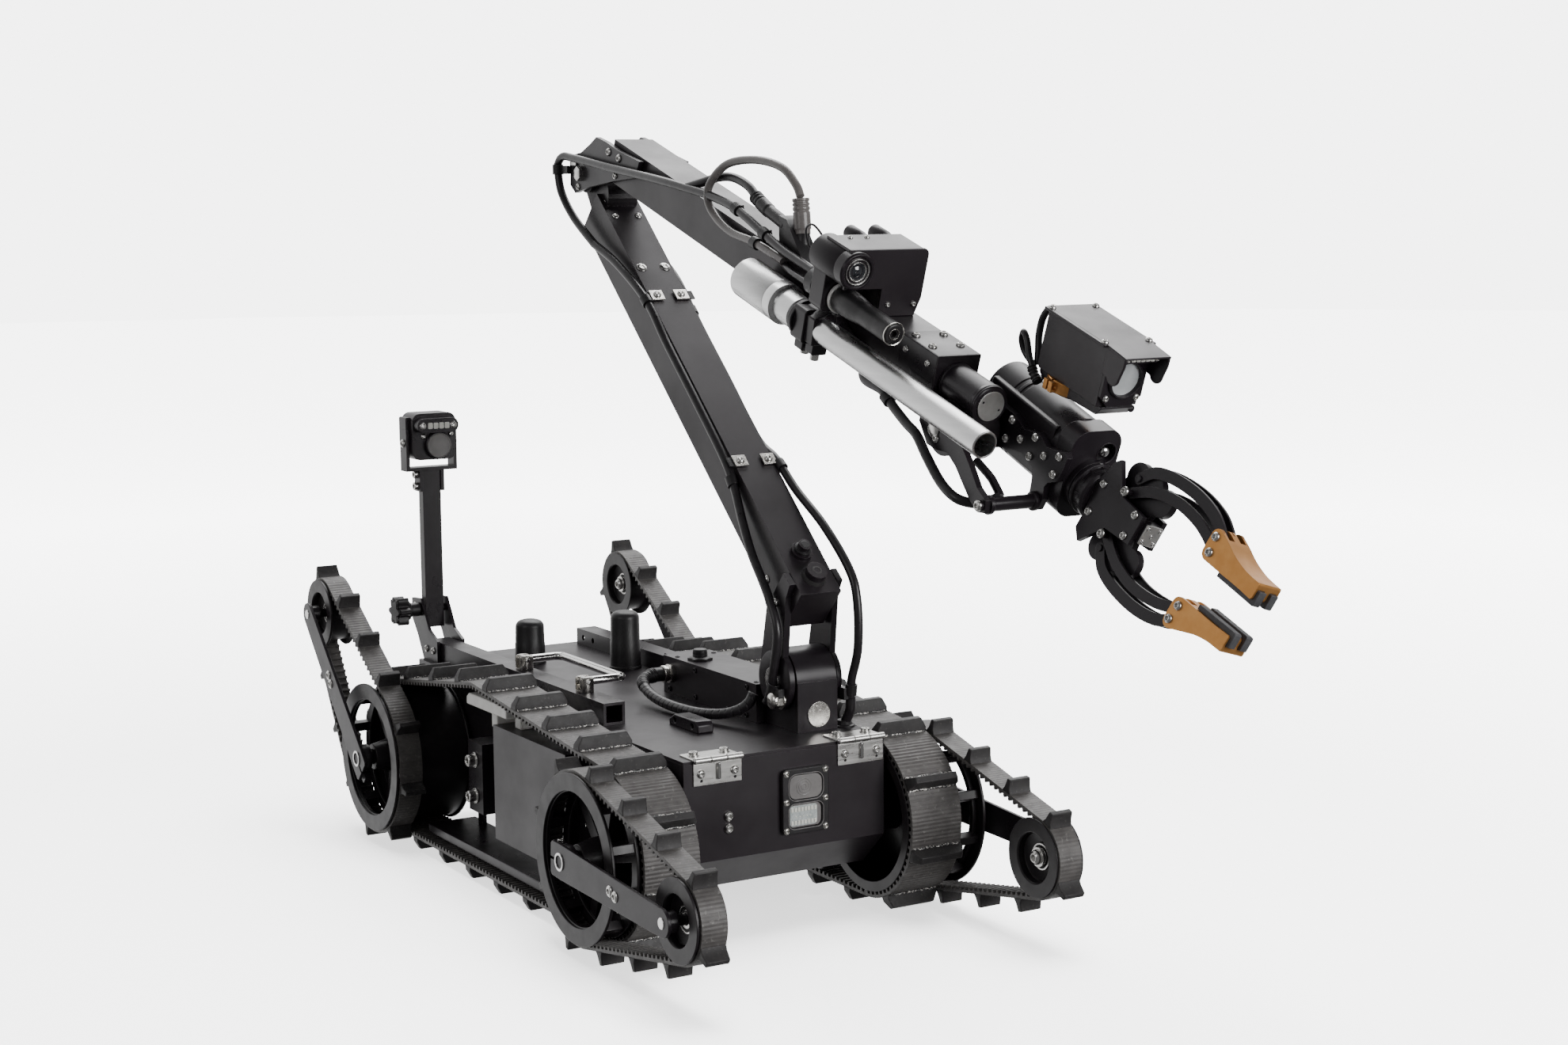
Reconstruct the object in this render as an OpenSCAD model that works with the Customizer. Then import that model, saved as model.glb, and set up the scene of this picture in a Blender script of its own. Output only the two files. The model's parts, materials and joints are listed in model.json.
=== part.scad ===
/* Tracked EOD-type robot: hull on two main belts, four flippers, folding arm
   with a four-bar gripper, camera mast. Millimetres, +X forward, +Y left, +Z up.
   Origin on the ground, midway between the axles on the centreline. */

/* [Chassis] */
// Distance between the front and rear axles
wheelbase = 514; // [506:2:540]
// Height of the axles above the ground
axle_z = 98; // [98:1:98]
// Half of the hull's width
hull_half = 112; // [112:1:112]
// Front face of the hull
hull_front = 300; // [300:1:300]
// Rear face of the hull
hull_rear = -335; // [-345:1:-330]
// Underside of the hull
hull_bottom = 52; // [48:1:56]
// Top of the tub, under the lid plate
tub_top = 184; // [184:1:184]
// Sheet thickness of the tub
tub_wall = 3; // [2:0.5:4]

/* [Tracks] */
// Outer radius of a belt on a drive wheel
belt_r = 84.5; // [84.5:0.5:84.5]
// Thickness of a belt without its lugs
belt_t = 4.5; // [4:0.5:5]
// Height of a lug above the belt
lug_h = 13.5; // [12:0.5:13.5]
// Thickness of a lug
lug_t = 6.5; // [5:0.5:8]
// Inner edge of the main belt, from the centreline
main_y0 = 118; // [116:1:119]
// Outer edge of the main belt
main_y1 = 176; // [170:1:176]
// Number of lugs on a main belt
main_lugs = 22; // [18:1:26]

/* [Flippers] */
// Distance from a drive axle to the flipper's tip axle
flipper_len = 201; // [190:1:201]
// Outer radius of the belt on the tip wheel
tip_belt_r = 40.7; // [38:0.1:42]
// Inner edge of the flipper belt
flip_y0 = 178; // [178:0.5:179]
// Outer edge of the flipper belt
flip_y1 = 204; // [202:0.5:204]
// Number of lugs on a flipper belt
flip_lugs = 12; // [10:1:13]
// Angle of the front flippers above the ground line
front_flipper_a = -2.5; // [-5:0.5:10]
// Angle of the rear flippers, measured the same way
rear_flipper_a = 135; // [130:1:150]

/* [Arm] */
// Distance of the arm's centre plane from the hull's centreline
arm_y = 66; // [66:1:66]
// Width of both arm tubes
tube_w = 46; // [44:1:46]
// Depth of the upper arm tube
upper_d = 50; // [46:1:50]
// Depth of the forearm tube
fore_d = 46; // [42:1:46]
// Lean of the upper arm from the forward direction
upper_a = 137.6; // [137.6:0.1:137.6]
// Downward pitch of the forearm
fore_a = 18.44; // [18.44:0.01:18.44]
// Downward pitch of the gripper
grip_a = 23; // [23:1:23]
// Roll of the gripper's palm about its own axis
palm_roll = 17.8; // [17.8:0.1:17.8]

/* [Gripper] */
// Half distance between the two inner link pivots
palm_half = 19.9; // [19:0.1:21]
// Forward reach of the fingertip pivots
tip_reach = 106.4; // [100:0.2:110]
// Thickness of a finger link's bars
link_t = 2.8; // [2.6:0.1:2.8]
// Size of the gripper and its camera against their drawn numbers
grip_size = 1.044; // [1.044:0.001:1.044]

/* [Hidden] */
$fn = 48;
fit = 0.05;                      // radial clearance of a running fit
gap = 0.4;                       // clearance between parts that move apart

half_base = wheelbase / 2;
shaft_r = 8;                     // flipper cross shaft
wheel_r = 76;                    // drum under the belt's teeth
flange_r = 82;                   // outer flange of a drive wheel
tip_r = 32;                      // tip wheel drum under the belt's teeth
tip_flange_r = 38.7;
tip_pin_r = 5;
plate_y0 = 218;                  // flipper side plate
plate_y1 = 221.5;
belt_in = belt_r - belt_t;
tip_belt_in = tip_belt_r - belt_t;
apex = [-42, 192];               // top support of the main belt
apex_r = 22;
lid_top = 187;
pod_top = 172;                   // top of the side pods
black = [0.09, 0.085, 0.09];
soft_black = [0.13, 0.13, 0.13];
steel = [0.72, 0.72, 0.7];

hinge_x = 303.2;                 // lid hinge axis
hinge_z = 187.6;
hinge_spans = [[-102, -50], [58, 110]];
knuckle_r = 3.2;
hinge_pin_r = 1.5;

shoulder = [218, 237];           // shoulder axis, x and z
elbow = [-190, 739];             // elbow axis, x and z
wrist = [501.3, 508.4];          // wrist pitch axis, x and z
upper_o = [260, 327];            // lower front corner of the upper arm tube
upper_len = 578;
fore_o = [-121, 775];            // upper rear corner of the forearm tube
fore_len = 650;
wrist_rod = [573, 447.5];        // cross rod of the wrist yoke, x and z
palm_o = [659.6, 123.5, 440.7];  // centre of the palm
cam_o = [609.1, 119.3, 548.9];   // underside of the gripper camera
mast_o = [-345, -89];            // mast post, x and y
mast_pivot_z = 243;
tilt_z = 436;                    // tilt axis of the mast camera

// ---------- shared geometry ----------
function arc_pts(c, r, a0, a1, n) =
  [for (i = [0:n]) let (a = a0 + (a1 - a0) * i / n) c + r * [cos(a), sin(a)]];
// angle of the upper common tangent's normal for circles c1,r1 and c2,r2
function tangent_a(c1, r1, c2, r2) =
  atan2(c2.y - c1.y, c2.x - c1.x) + acos((r1 - r2) / norm(c2 - c1));
function main_loop(t) = let (f = [half_base, axle_z], b = [-half_base, axle_z],
    R = belt_r - t, q = apex_r - t,
    af = tangent_a(apex, q, f, R), ab = tangent_a(b, R, apex, q))
  concat(arc_pts(f, R, -90, af, 40), arc_pts(apex, q, af, ab, 8), arc_pts(b, R, ab, 270, 40));
function flip_loop(t) = let (p = acos((belt_r - tip_belt_r) / flipper_len))
  concat(arc_pts([flipper_len, 0], tip_belt_r - t, -p, p, 24),
    arc_pts([0, 0], belt_r - t, p, 360 - p, 44));
function steps(P) = [for (i = [0:len(P) - 1]) norm(P[(i + 1) % len(P)] - P[i])];
function sum(v, i = 0) = i >= len(v) ? 0 : v[i] + sum(v, i + 1);
function running(L) = [for (i = 0, c = 0; i < len(L); c = c + L[i], i = i + 1) c];
function segment_of(C, s) = max([for (j = [0:len(C) - 1]) if (C[j] <= s) j]);

module along_y(y0, y1) translate([0, y1, 0]) rotate([90, 0, 0]) linear_extrude(y1 - y0) children();
module rod_y(x, z, r, y0, y1) translate([x, y1, z]) rotate([90, 0, 0]) cylinder(r = r, h = y1 - y0);
module rod_x(y, z, r, x0, x1) translate([x0, y, z]) rotate([0, 90, 0]) cylinder(r = r, h = x1 - x0);
module block(a, b) translate(a) cube(b - a);
module both_sides() { children(); mirror([0, 1, 0]) children(); }
module rounded(w, h, r) hull() for (x = [r, w - r], y = [r, h - r]) translate([x, y]) circle(r, $fn = 32);
module slab(w, h, r, t) linear_extrude(t) rounded(w, h, r);
// a rounded strip between two points of an outline
module strip(a, b, ra, rb) hull() {
  translate(a) circle(ra, $fn = 32);
  translate(b) circle(rb, $fn = 32);
}

module belt_outline(P, Q, n) {
  L = steps(P);
  C = running(L);
  total = sum(L);
  difference() {
    union() {
      polygon(P);
      for (k = [0:n - 1]) let (s = (k + 0.5) * total / n, i = segment_of(C, s),
          d = P[(i + 1) % len(P)] - P[i])
        translate(P[i] + d * ((s - C[i]) / norm(d))) rotate(atan2(d.y, d.x))
          translate([-lug_t / 2, -lug_h]) square([lug_t, lug_h + belt_t / 2]);
    }
    polygon(Q);
  }
}
// a tube swept along a list of points
function unit(v) = v / norm(v);
function along(P, i) = unit(P[min(i + 1, len(P) - 1)] - P[max(i - 1, 0)]);
function side_of(t) = unit(cross(t, abs(t.z) < 0.9 ? [0, 0, 1] : [1, 0, 0]));
function smooth(P) = [for (i = [0:len(P) - 2]) each [for (k = [0:1])
  let (t = k / 2, a = P[max(i - 1, 0)], b = P[i], c = P[i + 1], d = P[min(i + 2, len(P) - 1)])
  0.5 * (2 * b + (c - a) * t + (2 * a - 5 * b + 4 * c - d) * t * t + (3 * b - a - 3 * c + d) * t * t * t)],
  P[len(P) - 1]];
function carried(P, i, u) = i == 0 ? side_of(along(P, 0))
  : let (t = along(P, i), v = carried(P, i - 1, u)) unit(v - t * (v * t));
module cable(points, r, n = 8) {
  P = smooth(points);
  m = len(P);
  rings = [for (i = [0:m - 1]) let (t = along(P, i), u = carried(P, i, 0), w = cross(t, u))
    for (k = [0:n - 1]) P[i] + r * (cos(360 * k / n) * u + sin(360 * k / n) * w)];
  faces = concat([[for (k = [0:n - 1]) k]],
    [for (i = [0:m - 2]) for (k = [0:n - 1]) let (a = i * n + k, b = i * n + (k + 1) % n)
      [a, a + n, b + n, b]],
    [[for (k = [n - 1:-1:0]) (m - 1) * n + k]]);
  polyhedron(rings, faces);
}

// ---------- hull ----------
module hull_outline(t) let (top = tub_top + (t > 0 ? 9 : 0)) polygon([[hull_rear + t, hull_bottom + t],
  [262 - t / 2, hull_bottom + t], [hull_front - t, 88], [hull_front - t, top], [hull_rear + t, top]]);
module hull_tub() color(black) difference() {
  along_y(-hull_half, hull_half) hull_outline(0);
  along_y(-hull_half + tub_wall, hull_half - tub_wall) hull_outline(tub_wall);
  for (x = [-half_base, half_base]) rod_y(x, axle_z, 14, -hull_half - 1, hull_half + 1);
}
module side_pods() color(black) both_sides() difference() {
  block([-20, hull_half, 51], [150, 162, pod_top]);
  block([-17, hull_half - 1, 54], [147, 159, pod_top - 3]);
}
module battery_pack() color([0.2, 0.2, 0.22]) block([-110, -95, hull_bottom + tub_wall], [70, 95, 130]);
module control_electronics() color([0.1, 0.3, 0.18]) union() {
  block([-225, -50, hull_bottom + tub_wall], [-135, 50, 120]);
  block([-220, -45, 120], [-140, 45, 132]);
}
module drive_gearmotors() color([0.35, 0.35, 0.37]) both_sides() for (s = [-1, 1]) difference() {
  union() {
    rod_y(s * half_base, axle_z, 26, 58, 105);
    rod_x(82, axle_z, 19, min(s * 238, s * 135), max(s * 238, s * 135));
    block([s * half_base - 12, 70, hull_bottom + tub_wall], [s * half_base + 2, 96, axle_z - 20]);
  }
  rod_y(s * half_base, axle_z, shaft_r + 1, 50, 110);
}
module main_track() color(soft_black) along_y(main_y0, main_y1)
  belt_outline(main_loop(0), main_loop(belt_t), main_lugs);
module main_track_left() main_track();
module main_track_right() mirror([0, 1, 0]) main_track();
module track_guides() both_sides() {
  color([0.93, 0.92, 0.88]) union() {
    block([-64, main_y0, 188], [35, 172, 200.5]);
    for (leg = [[-50, 163], [8, pod_top]]) block([leg.x, hull_half, leg.y], [leg.x + 14, 150, 188]);
  }
  color(black) union() {
    block([-185, hull_half, 23], [185, 168, 33]);
    for (x = [-165, 160]) block([x, hull_half, 33], [x + 12, 118, 84]);
  }
}
module tensioner_plates() color(black) both_sides() difference() {
  block([-113, hull_half, 62], [-77, 150, 138]);
  for (z = [80, 119]) rod_y(-95, z, 4.5, 120, 151);
}
module front_panel() color(soft_black) difference() {
  translate([hull_front, -7, 103]) rotate([90, 0, 90]) slab(52, 64, 6, 5);
  block([hull_front + 2, 1, 137], [hull_front + 6, 37, 160]);
  block([hull_front + 2, 1, 109], [hull_front + 6, 37, 131]);
}
module panel_windows() color([0.6, 0.62, 0.64]) {
  block([hull_front + 2, 1.2, 137.2], [hull_front + 4.5, 36.8, 159.8]);
  block([hull_front + 2, 1.2, 109.2], [hull_front + 4.5, 36.8, 130.8]);
}
// one hinge: side = 0 lower leaf with the pin, side = 1 upper leaf
module hinge(y0, y1, side) {
  w = (y1 - y0) / 3;
  if (side == 0) {
    difference() {
      union() {
        block([hull_front, y0, 163], [hull_front + 1.5, y1, 183.6]);
        for (a = [y0, y1 - w + gap / 2]) {
          block([hull_front, a, 183], [hull_front + 1.5, a + w - gap / 2, hinge_z]);
          rod_y(hinge_x, hinge_z, knuckle_r, a, a + w - gap / 2);
        }
      }
      rod_y(hinge_x, hinge_z, hinge_pin_r, y0 - 1, y1 + 1);
    }
    rod_y(hinge_x, hinge_z, hinge_pin_r, y0, y1);
  } else difference() {
    union() {
      block([272, y0, lid_top], [299.6, y1, lid_top + 1.5]);
      block([299, y0 + w + gap / 2, lid_top], [hinge_x, y1 - w - gap / 2, lid_top + 1.5]);
      rod_y(hinge_x, hinge_z, knuckle_r, y0 + w + gap / 2, y1 - w - gap / 2);
    }
    rod_y(hinge_x, hinge_z, hinge_pin_r + fit, y0, y1);
  }
}
module hinge_lower_leaves() color(steel) for (h = hinge_spans) hinge(h[0], h[1], 0);
module hinge_upper_leaves() color(steel) for (h = hinge_spans) hinge(h[0], h[1], 1);
module hull_fasteners() color(steel) {
  for (z = [129.5, 118]) rod_x(-64, z, 4.5, hull_front, hull_front + 3);
  for (y = [-3, 41], z = [107, 135, 163]) rod_x(y, z, 3.2, hull_front + 5, hull_front + 7);
  for (h = hinge_spans, k = [0.15, 0.85])
    rod_x(h[0] + k * (h[1] - h[0]), 173, 4, hull_front + 1.5, hull_front + 3.5);
  both_sides() for (z = [80, 119]) union() {
    rod_y(-95, z, 4.4, 130, 150);
    rod_y(-95, z, 8, 150, 152);
    rod_y(-95, z, 6.5, 152, 160);
  }
}
module axle_hubs() color(steel) both_sides() for (s = [-1, 1]) difference() {
  union() {
    rod_y(s * half_base, axle_z, 14, 107, hull_half);
    rod_y(s * half_base, axle_z, 20, hull_half, hull_half + 1.2);
  }
  rod_y(s * half_base, axle_z, shaft_r + fit, 100, 120);
}

// ---------- lid and deck ----------
module lid_plate() color(black) block([hull_rear, -hull_half, tub_top], [299.6, hull_half, lid_top]);
module accessory_rails() color(black) {
  difference() {
    block([-328, -101, lid_top], [114, -77, 210]);
    block([-329, -98, 190], [115, -80, 207]);
  }
  difference() {
    block([-322, 84, lid_top], [-100, 108, 206]);
    block([-323, 87, 190], [-99, 105, 203]);
    for (x = [-305, -280]) rod_y(x, 196.5, 3.3, 80, 112);
  }
}
module antenna(h) rotate_extrude() polygon(concat([[0, 0], [18, 0], [18, 3], [17.4, 3]],
  arc_pts([11.5, h - 5], 5, 0, 90, 8), [[0, h]]));
module antennas() color(black) {
  translate([-241, -15, lid_top]) antenna(51);
  translate([-154, 62, lid_top]) antenna(66);
}
module shoulder_motor_box() color(black) union() {
  block([-10, 34, lid_top], [186, 90, 227]);
  block([-42, 52, lid_top], [-10, 88, 222]);
}
module shoulder_gearbox() color(black) difference() {
  union() {
    block([186, 44, lid_top], [250, 90, 237]);
    rod_y(shoulder.x, shoulder.y, 31, 44, 90);
  }
  rod_y(shoulder.x, shoulder.y, 14 + fit, 40, 95);
}
module mast_bracket() color(black) for (y = [-106, -75.4]) difference() {
  along_y(y, y + 3.4) polygon([[-295, lid_top], [-335, lid_top], [-352, 214], [-366, 230],
    [-366, 254], [-340, 256], [-318, 222], [-295, 212]]);
  rod_y(mast_o.x, mast_pivot_z, 4 + fit, -110, -70);
  for (x = [-325, -306]) rod_y(x, 200, 2.6, -110, -70);
}
module lid_fittings() {
  color(steel) {
    difference() {
      rod_y(8, 210, 10, 22, 34);
      rod_y(8, 210, 6.5, 20, 30);
    }
    rod_x(68, 204, 13, 250, 251.2);
    for (x = [48, -97]) difference() {
      translate([x, -89, 210]) cylinder(r = 9.5, h = 16);
      block([x - 5, -100, 213], [x + 5, -78, 230]);
      rod_x(-89, 221, 2.5 + fit, x - 12, x + 12);
    }
    for (h = hinge_spans, k = [0.18, 0.82]) translate([284, h[0] + k * (h[1] - h[0]), lid_top + 1.5])
      cylinder(r = 4.5, h = 3.5);
  }
  color(soft_black) {
    translate([38, 52, 227]) cylinder(r = 12, h = 3);
    translate([38, 52, 230]) cylinder(r = 7.5, h = 7);
    difference() {
      block([138, -40, lid_top], [198, -22, 199]);
      rod_y(186, 193, 3, -45, -20);
    }
  }
}
base_route = [[8, 20, 210], [8, 6, 209], [18, -6, 206], [42, -12, 200], [75, -14, 196],
  [110, -12, 194.5], [145, -6, 195], [172, 4, 198], [190, 14, 204], [200, 22, 212], [204, 27, 222]];
module base_cable() color(soft_black) cable(base_route, 5.5);
module carry_handle() color([0.8, 0.79, 0.77]) {
  for (x = [48, -97]) {
    rod_x(-89, 221, 2.5, x - 9, x + 9);
    difference() {
      union() {
        rod_x(-89, 221, 4.6, x - 4.4, x + 4.4);
        block([x - 4, -89, 217.4], [x + 4, -46, 224.6]);
      }
      rod_x(-89, 221, 2.5, x - 5, x + 5);
    }
  }
  rod_x(-46, 221, 4.6, -101, 52);
}

// ---------- mast ----------
module mast_post() color(black) {
  difference() {
    union() {
      block([mast_o.x - 6, -100, 222], [mast_o.x + 6, -78, 406]);
      for (y = [-120, -62]) block([mast_o.x - 9, y, 404], [mast_o.x + 9, y + 4, 452]);
      block([mast_o.x - 9, -120, 404], [mast_o.x + 9, -58, 408]);
      for (y = [-104, -78]) block([mast_o.x - 8, y, 380], [mast_o.x + 8, y + 4, 405]);
    }
    rod_y(mast_o.x, mast_pivot_z, 4 + fit, -102, -76);
    rod_y(mast_o.x, tilt_z, 3 + fit, -124, -54);
  }
}
module mast_camera() color(black) difference() {
  union() {
    block([mast_o.x - 14, -115.6, 417], [mast_o.x + 20, -62.4, 470]);
    block([mast_o.x + 18, -112, 450], [mast_o.x + 30, -66, 464]);
    rod_x(-86, 434, 15, mast_o.x + 18, mast_o.x + 25);
    rod_y(mast_o.x, tilt_z, 3, -122, -56);
  }
}
module mast_knob() color(black) union() {
  rod_y(mast_o.x, mast_pivot_z, 4, -118, -70);
  rod_y(mast_o.x, mast_pivot_z, 8, -120, -106.6);
  difference() {
    rod_y(mast_o.x, mast_pivot_z, 18, -138, -120);
    for (k = [0:5]) rod_y(mast_o.x + 20 * cos(60 * k), mast_pivot_z + 20 * sin(60 * k), 4.5, -140, -119);
  }
}

// ---------- wheels and flippers ----------
function ring_profile(ri, ro, z0, z1) = [[ri, z0], [ro, z0], [ro, z1], [ri, z1]];
module wheel_body() difference() {
  union() {
    rotate_extrude($fn = 96) union() {
      polygon(ring_profile(66, wheel_r, 120, 205));
      polygon(ring_profile(70, flange_r, 204.5, 207.5));
      polygon(ring_profile(shaft_r + fit, 16, 113.6, 205));
      polygon(ring_profile(14, 70, 148, 154));
      polygon(ring_profile(14, 72, 184, 190));
    }
  }
  for (k = [0:5]) rotate(60 * k) translate([42, 0, 140]) cylinder(r = 15, h = 60);
}
module drive_wheel(s) translate([s * half_base, 0, axle_z]) rotate([-90, 0, 0]) color(black) wheel_body();
module drive_wheel_fl() drive_wheel(1);
module drive_wheel_rl() drive_wheel(-1);
module drive_wheel_fr() mirror([0, 1, 0]) drive_wheel(1);
module drive_wheel_rr() mirror([0, 1, 0]) drive_wheel(-1);
module at_flipper(s, a) translate([s * half_base, 0, axle_z]) rotate([0, -a, 0]) children();
module flipper_arms() color(black) {
  difference() {
    rod_y(0, 0, shaft_r, -plate_y0, plate_y0);
    rod_y(0, 0, 3, -plate_y0 - 1, plate_y0 + 1);
  }
  both_sides() {
    along_y(plate_y0, plate_y1) strip([0, 0], [flipper_len, 0], 17, 13);
    rod_y(0, 0, 13, 208.4, plate_y0);
    rod_y(flipper_len, 0, tip_pin_r, 180, plate_y0);
    rod_y(flipper_len, 0, 9, 208.4, plate_y0);
  }
}
module flipper_tracks() color(soft_black) both_sides() along_y(flip_y0, flip_y1)
  belt_outline(flip_loop(0), flip_loop(belt_t), flip_lugs);
module front_flipper_arms() at_flipper(1, front_flipper_a) flipper_arms();
module front_flipper_tracks() at_flipper(1, front_flipper_a) flipper_tracks();
module rear_flipper_arms() at_flipper(-1, rear_flipper_a) flipper_arms();
module rear_flipper_tracks() at_flipper(-1, rear_flipper_a) flipper_tracks();
module tip_wheel(s, a) color(black) at_flipper(s, a) translate([flipper_len, 0, 0]) rotate([-90, 0, 0])
  rotate_extrude() union() {
    polygon(ring_profile(24, tip_r, 178.4, 206));
    polygon(ring_profile(24, tip_flange_r, 204.6, 207.5));
    polygon(ring_profile(24, tip_flange_r, 176.6, 177.6));
    polygon(ring_profile(24, tip_r, 177, 179));
    polygon(ring_profile(tip_pin_r + fit, 26, 188, 196));
    polygon(ring_profile(tip_pin_r + fit, 13, 181, 203));
  }
module tip_wheel_fl() tip_wheel(1, front_flipper_a);
module tip_wheel_fr() mirror([0, 1, 0]) tip_wheel(1, front_flipper_a);
module tip_wheel_rl() tip_wheel(-1, rear_flipper_a);
module tip_wheel_rr() mirror([0, 1, 0]) tip_wheel(-1, rear_flipper_a);

// ---------- arm ----------
module at_upper() translate([upper_o.x, arm_y, upper_o.y]) rotate([0, -upper_a, 0]) children();
module at_fore() translate([fore_o.x, arm_y, fore_o.y]) rotate([0, fore_a, 0]) children();
module at_grip() translate(palm_o) rotate([0, grip_a, 0]) scale(grip_size) children();
module at_palm() at_grip() rotate([-palm_roll, 0, 0]) children();
half_w = tube_w / 2;
module upper_arm() color(black) {
  at_upper() union() {
    difference() {
      block([0, -half_w, 0], [upper_len, half_w, upper_d]);
      block([14, -half_w + 3, 3], [upper_len - 30, half_w - 3, upper_d - 3]);
    }
    translate([20, 0, -11]) cylinder(r = 10.5, h = 11.5);
    translate([52, 0, -4]) cylinder(r = 11, h = 4.5);
    translate([52, 0, -13]) cylinder(r = 6.5, h = 9.5);
  }
  difference() {
    union() {
      along_y(arm_y - 18, arm_y + 18) strip(elbow, [-172, 716], 21, 24);
      rod_y(elbow.x, elbow.y, 21, arm_y - 24, arm_y + 24);
    }
    rod_y(elbow.x, elbow.y, 7 + fit, 20, 110);
  }
}
module shoulder_plates() color(black) {
  for (y = [[36, 43], [90.6, 97]]) along_y(y[0], y[1]) difference() {
    polygon([[242, 322], [250, 336], [238, 346], [205, 309], [191, 247], [196, 222], [210, 208],
      [228, 208], [240, 226], [234, 250]]);
  }
  rod_y(shoulder.x, shoulder.y, 14, 40, 94);
  color(steel) for (y = [26, 97]) rod_y(232, 219, 7, y, y + 10);
}
near_route = [[219, 30, 221], [227, 30, 246], [235, 30, 287], [221, 30, 317], [206, 31, 335],
  [183, 32, 360], [160, 35, 390], [140, 38, 420], [120, 38, 448], [60, 38, 505], [0, 38, 560],
  [-44, 38, 603], [-107, 36, 641], [-155, 33, 662], [-199, 31, 690], [-225, 29, 717], [-232, 28, 740]];
far_route = [[254, 103, 232], [268, 103, 270], [267, 103, 317], [254, 102, 347], [214, 98, 386],
  [165, 95, 418], [128, 94, 446], [90, 94, 464], [30, 94, 520], [-30, 94, 575], [-75, 94, 620],
  [-110, 95, 642], [-154, 98, 665]];
module upper_arm_cables() color(soft_black) {
  cable(near_route, 4.5);
  cable(far_route, 4.5);
}
module forearm() color(black) at_fore() union() {
  difference() {
    block([0, -half_w, -fore_d], [fore_len - 60, half_w, 0]);
    block([36, -half_w + 3, -fore_d + 3], [fore_len - 80, half_w - 3, -3]);
    rotate([0, 35, 0]) block([-60, -40, -70], [0, 40, 90]);
  }
  block([fore_len - 60, -half_w, -fore_d - 2], [fore_len, half_w, 2]);
}
module elbow_plates() color(black) {
  for (y = [[36, 41.4], [90.6, 96]]) along_y(y[0], y[1]) polygon([[-217, 742], [-218, 727], [-206, 718],
    [-172, 724], [-112, 730], [-62, 733], [-52, 750], [-100, 762], [-128, 772], [-152, 778],
    [-169, 770], [-190, 762], [-210, 760]]);
  rod_y(elbow.x, elbow.y, 7, 33, 99);
}
module at_barrel() at_fore() translate([352, -46, -31]) children();
module barrel() color([0.75, 0.75, 0.76]) at_barrel() difference() {
  union() {
    rod_x(0, 0, 12.5, 100, 417);
    rod_x(0, 0, 16.5, 70, 105);
    rod_x(0, 0, 20.5, 0, 77);
  }
  rod_x(0, 0, 10.8, 130, 418);
}
module barrel_clamp() color(black) at_barrel() difference() {
  union() {
    rod_x(0, 0, 19, 108, 150);
    block([110, 10, -14], [148, 22.6, 16]);
    block([112, -9, -27], [146, 9, -12]);
  }
  rod_x(0, 0, 12.5, 100, 160);
}
kit_front = 546;                 // front of the aiming kit, along the forearm
module aiming_camera() color(black) at_fore() union() {
  block([kit_front - 42, -half_w, 0], [kit_front, half_w - 1, 3]);
  block([kit_front - 3, -half_w, 0], [kit_front, half_w - 1, 65]);
  block([kit_front - 42, -64, 62], [kit_front, half_w - 1, 65]);
  block([kit_front - 3, -64, 26], [kit_front, -half_w, 65]);
  rod_x(-56, 46, 18, kit_front - 53, kit_front + 6);
  rod_x(-47, 9, 13, kit_front - 76, kit_front - 28);
  rod_x(-47, 9, 10.5, kit_front - 28, kit_front + 66);
  block([kit_front - 60, -52, 0], [kit_front - 34, -half_w + 1, 14]);
  block([kit_front - 52, -66, 8], [kit_front - 36, -40, 40]);
  for (y = [-18, 9]) rod_x(y, 56, 7, kit_front - 76, kit_front - 41);
}
module wrist_gearbox() color(black) difference() {
  union() {
    at_fore() rod_x(0, -23, 18, fore_len, fore_len + 56);
    at_fore() color(steel) rod_x(0, -23, 14, fore_len + 56, fore_len + 58);
    rod_y(wrist.x, wrist.y, 25, arm_y - 22, arm_y + 22);
    at_fore() block([fore_len, -20, -66], [fore_len + 34, 20, -40]);
  }
  rod_y(wrist.x, wrist.y, 9 + fit, 30, 100);
}
loop_route = [[-232, 18, 750], [-219, 18, 758], [-195, 19, 756], [-113, 30, 745], [-7, 32, 731],
  [50, 35, 722], [100, 38, 713], [151, 38, 700], [205, 38, 676], [242, 38, 660], [300, 38, 640],
  [340, 36, 625]];
plug_route = [[242, 37, 650], [189, 37, 667], [142, 37, 677], [110, 37, 692], [94, 37, 709],
  [97, 39, 727], [124, 44, 745], [171, 50, 748], [212, 54, 740], [234, 56, 724], [243, 56, 705],
  [247, 56, 676], [250, 56, 658]];
wrist_route = [[400, 28, 546], [428, 28, 538], [447, 28, 524], [469, 27, 511], [485, 27, 502],
  [501, 27, 484], [520, 28, 464], [538, 29, 452]];
module forearm_cables() color(soft_black) {
  cable(loop_route, 4.5);
  cable(plug_route, 4);
  cable(wrist_route, 4.5);
}

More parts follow.
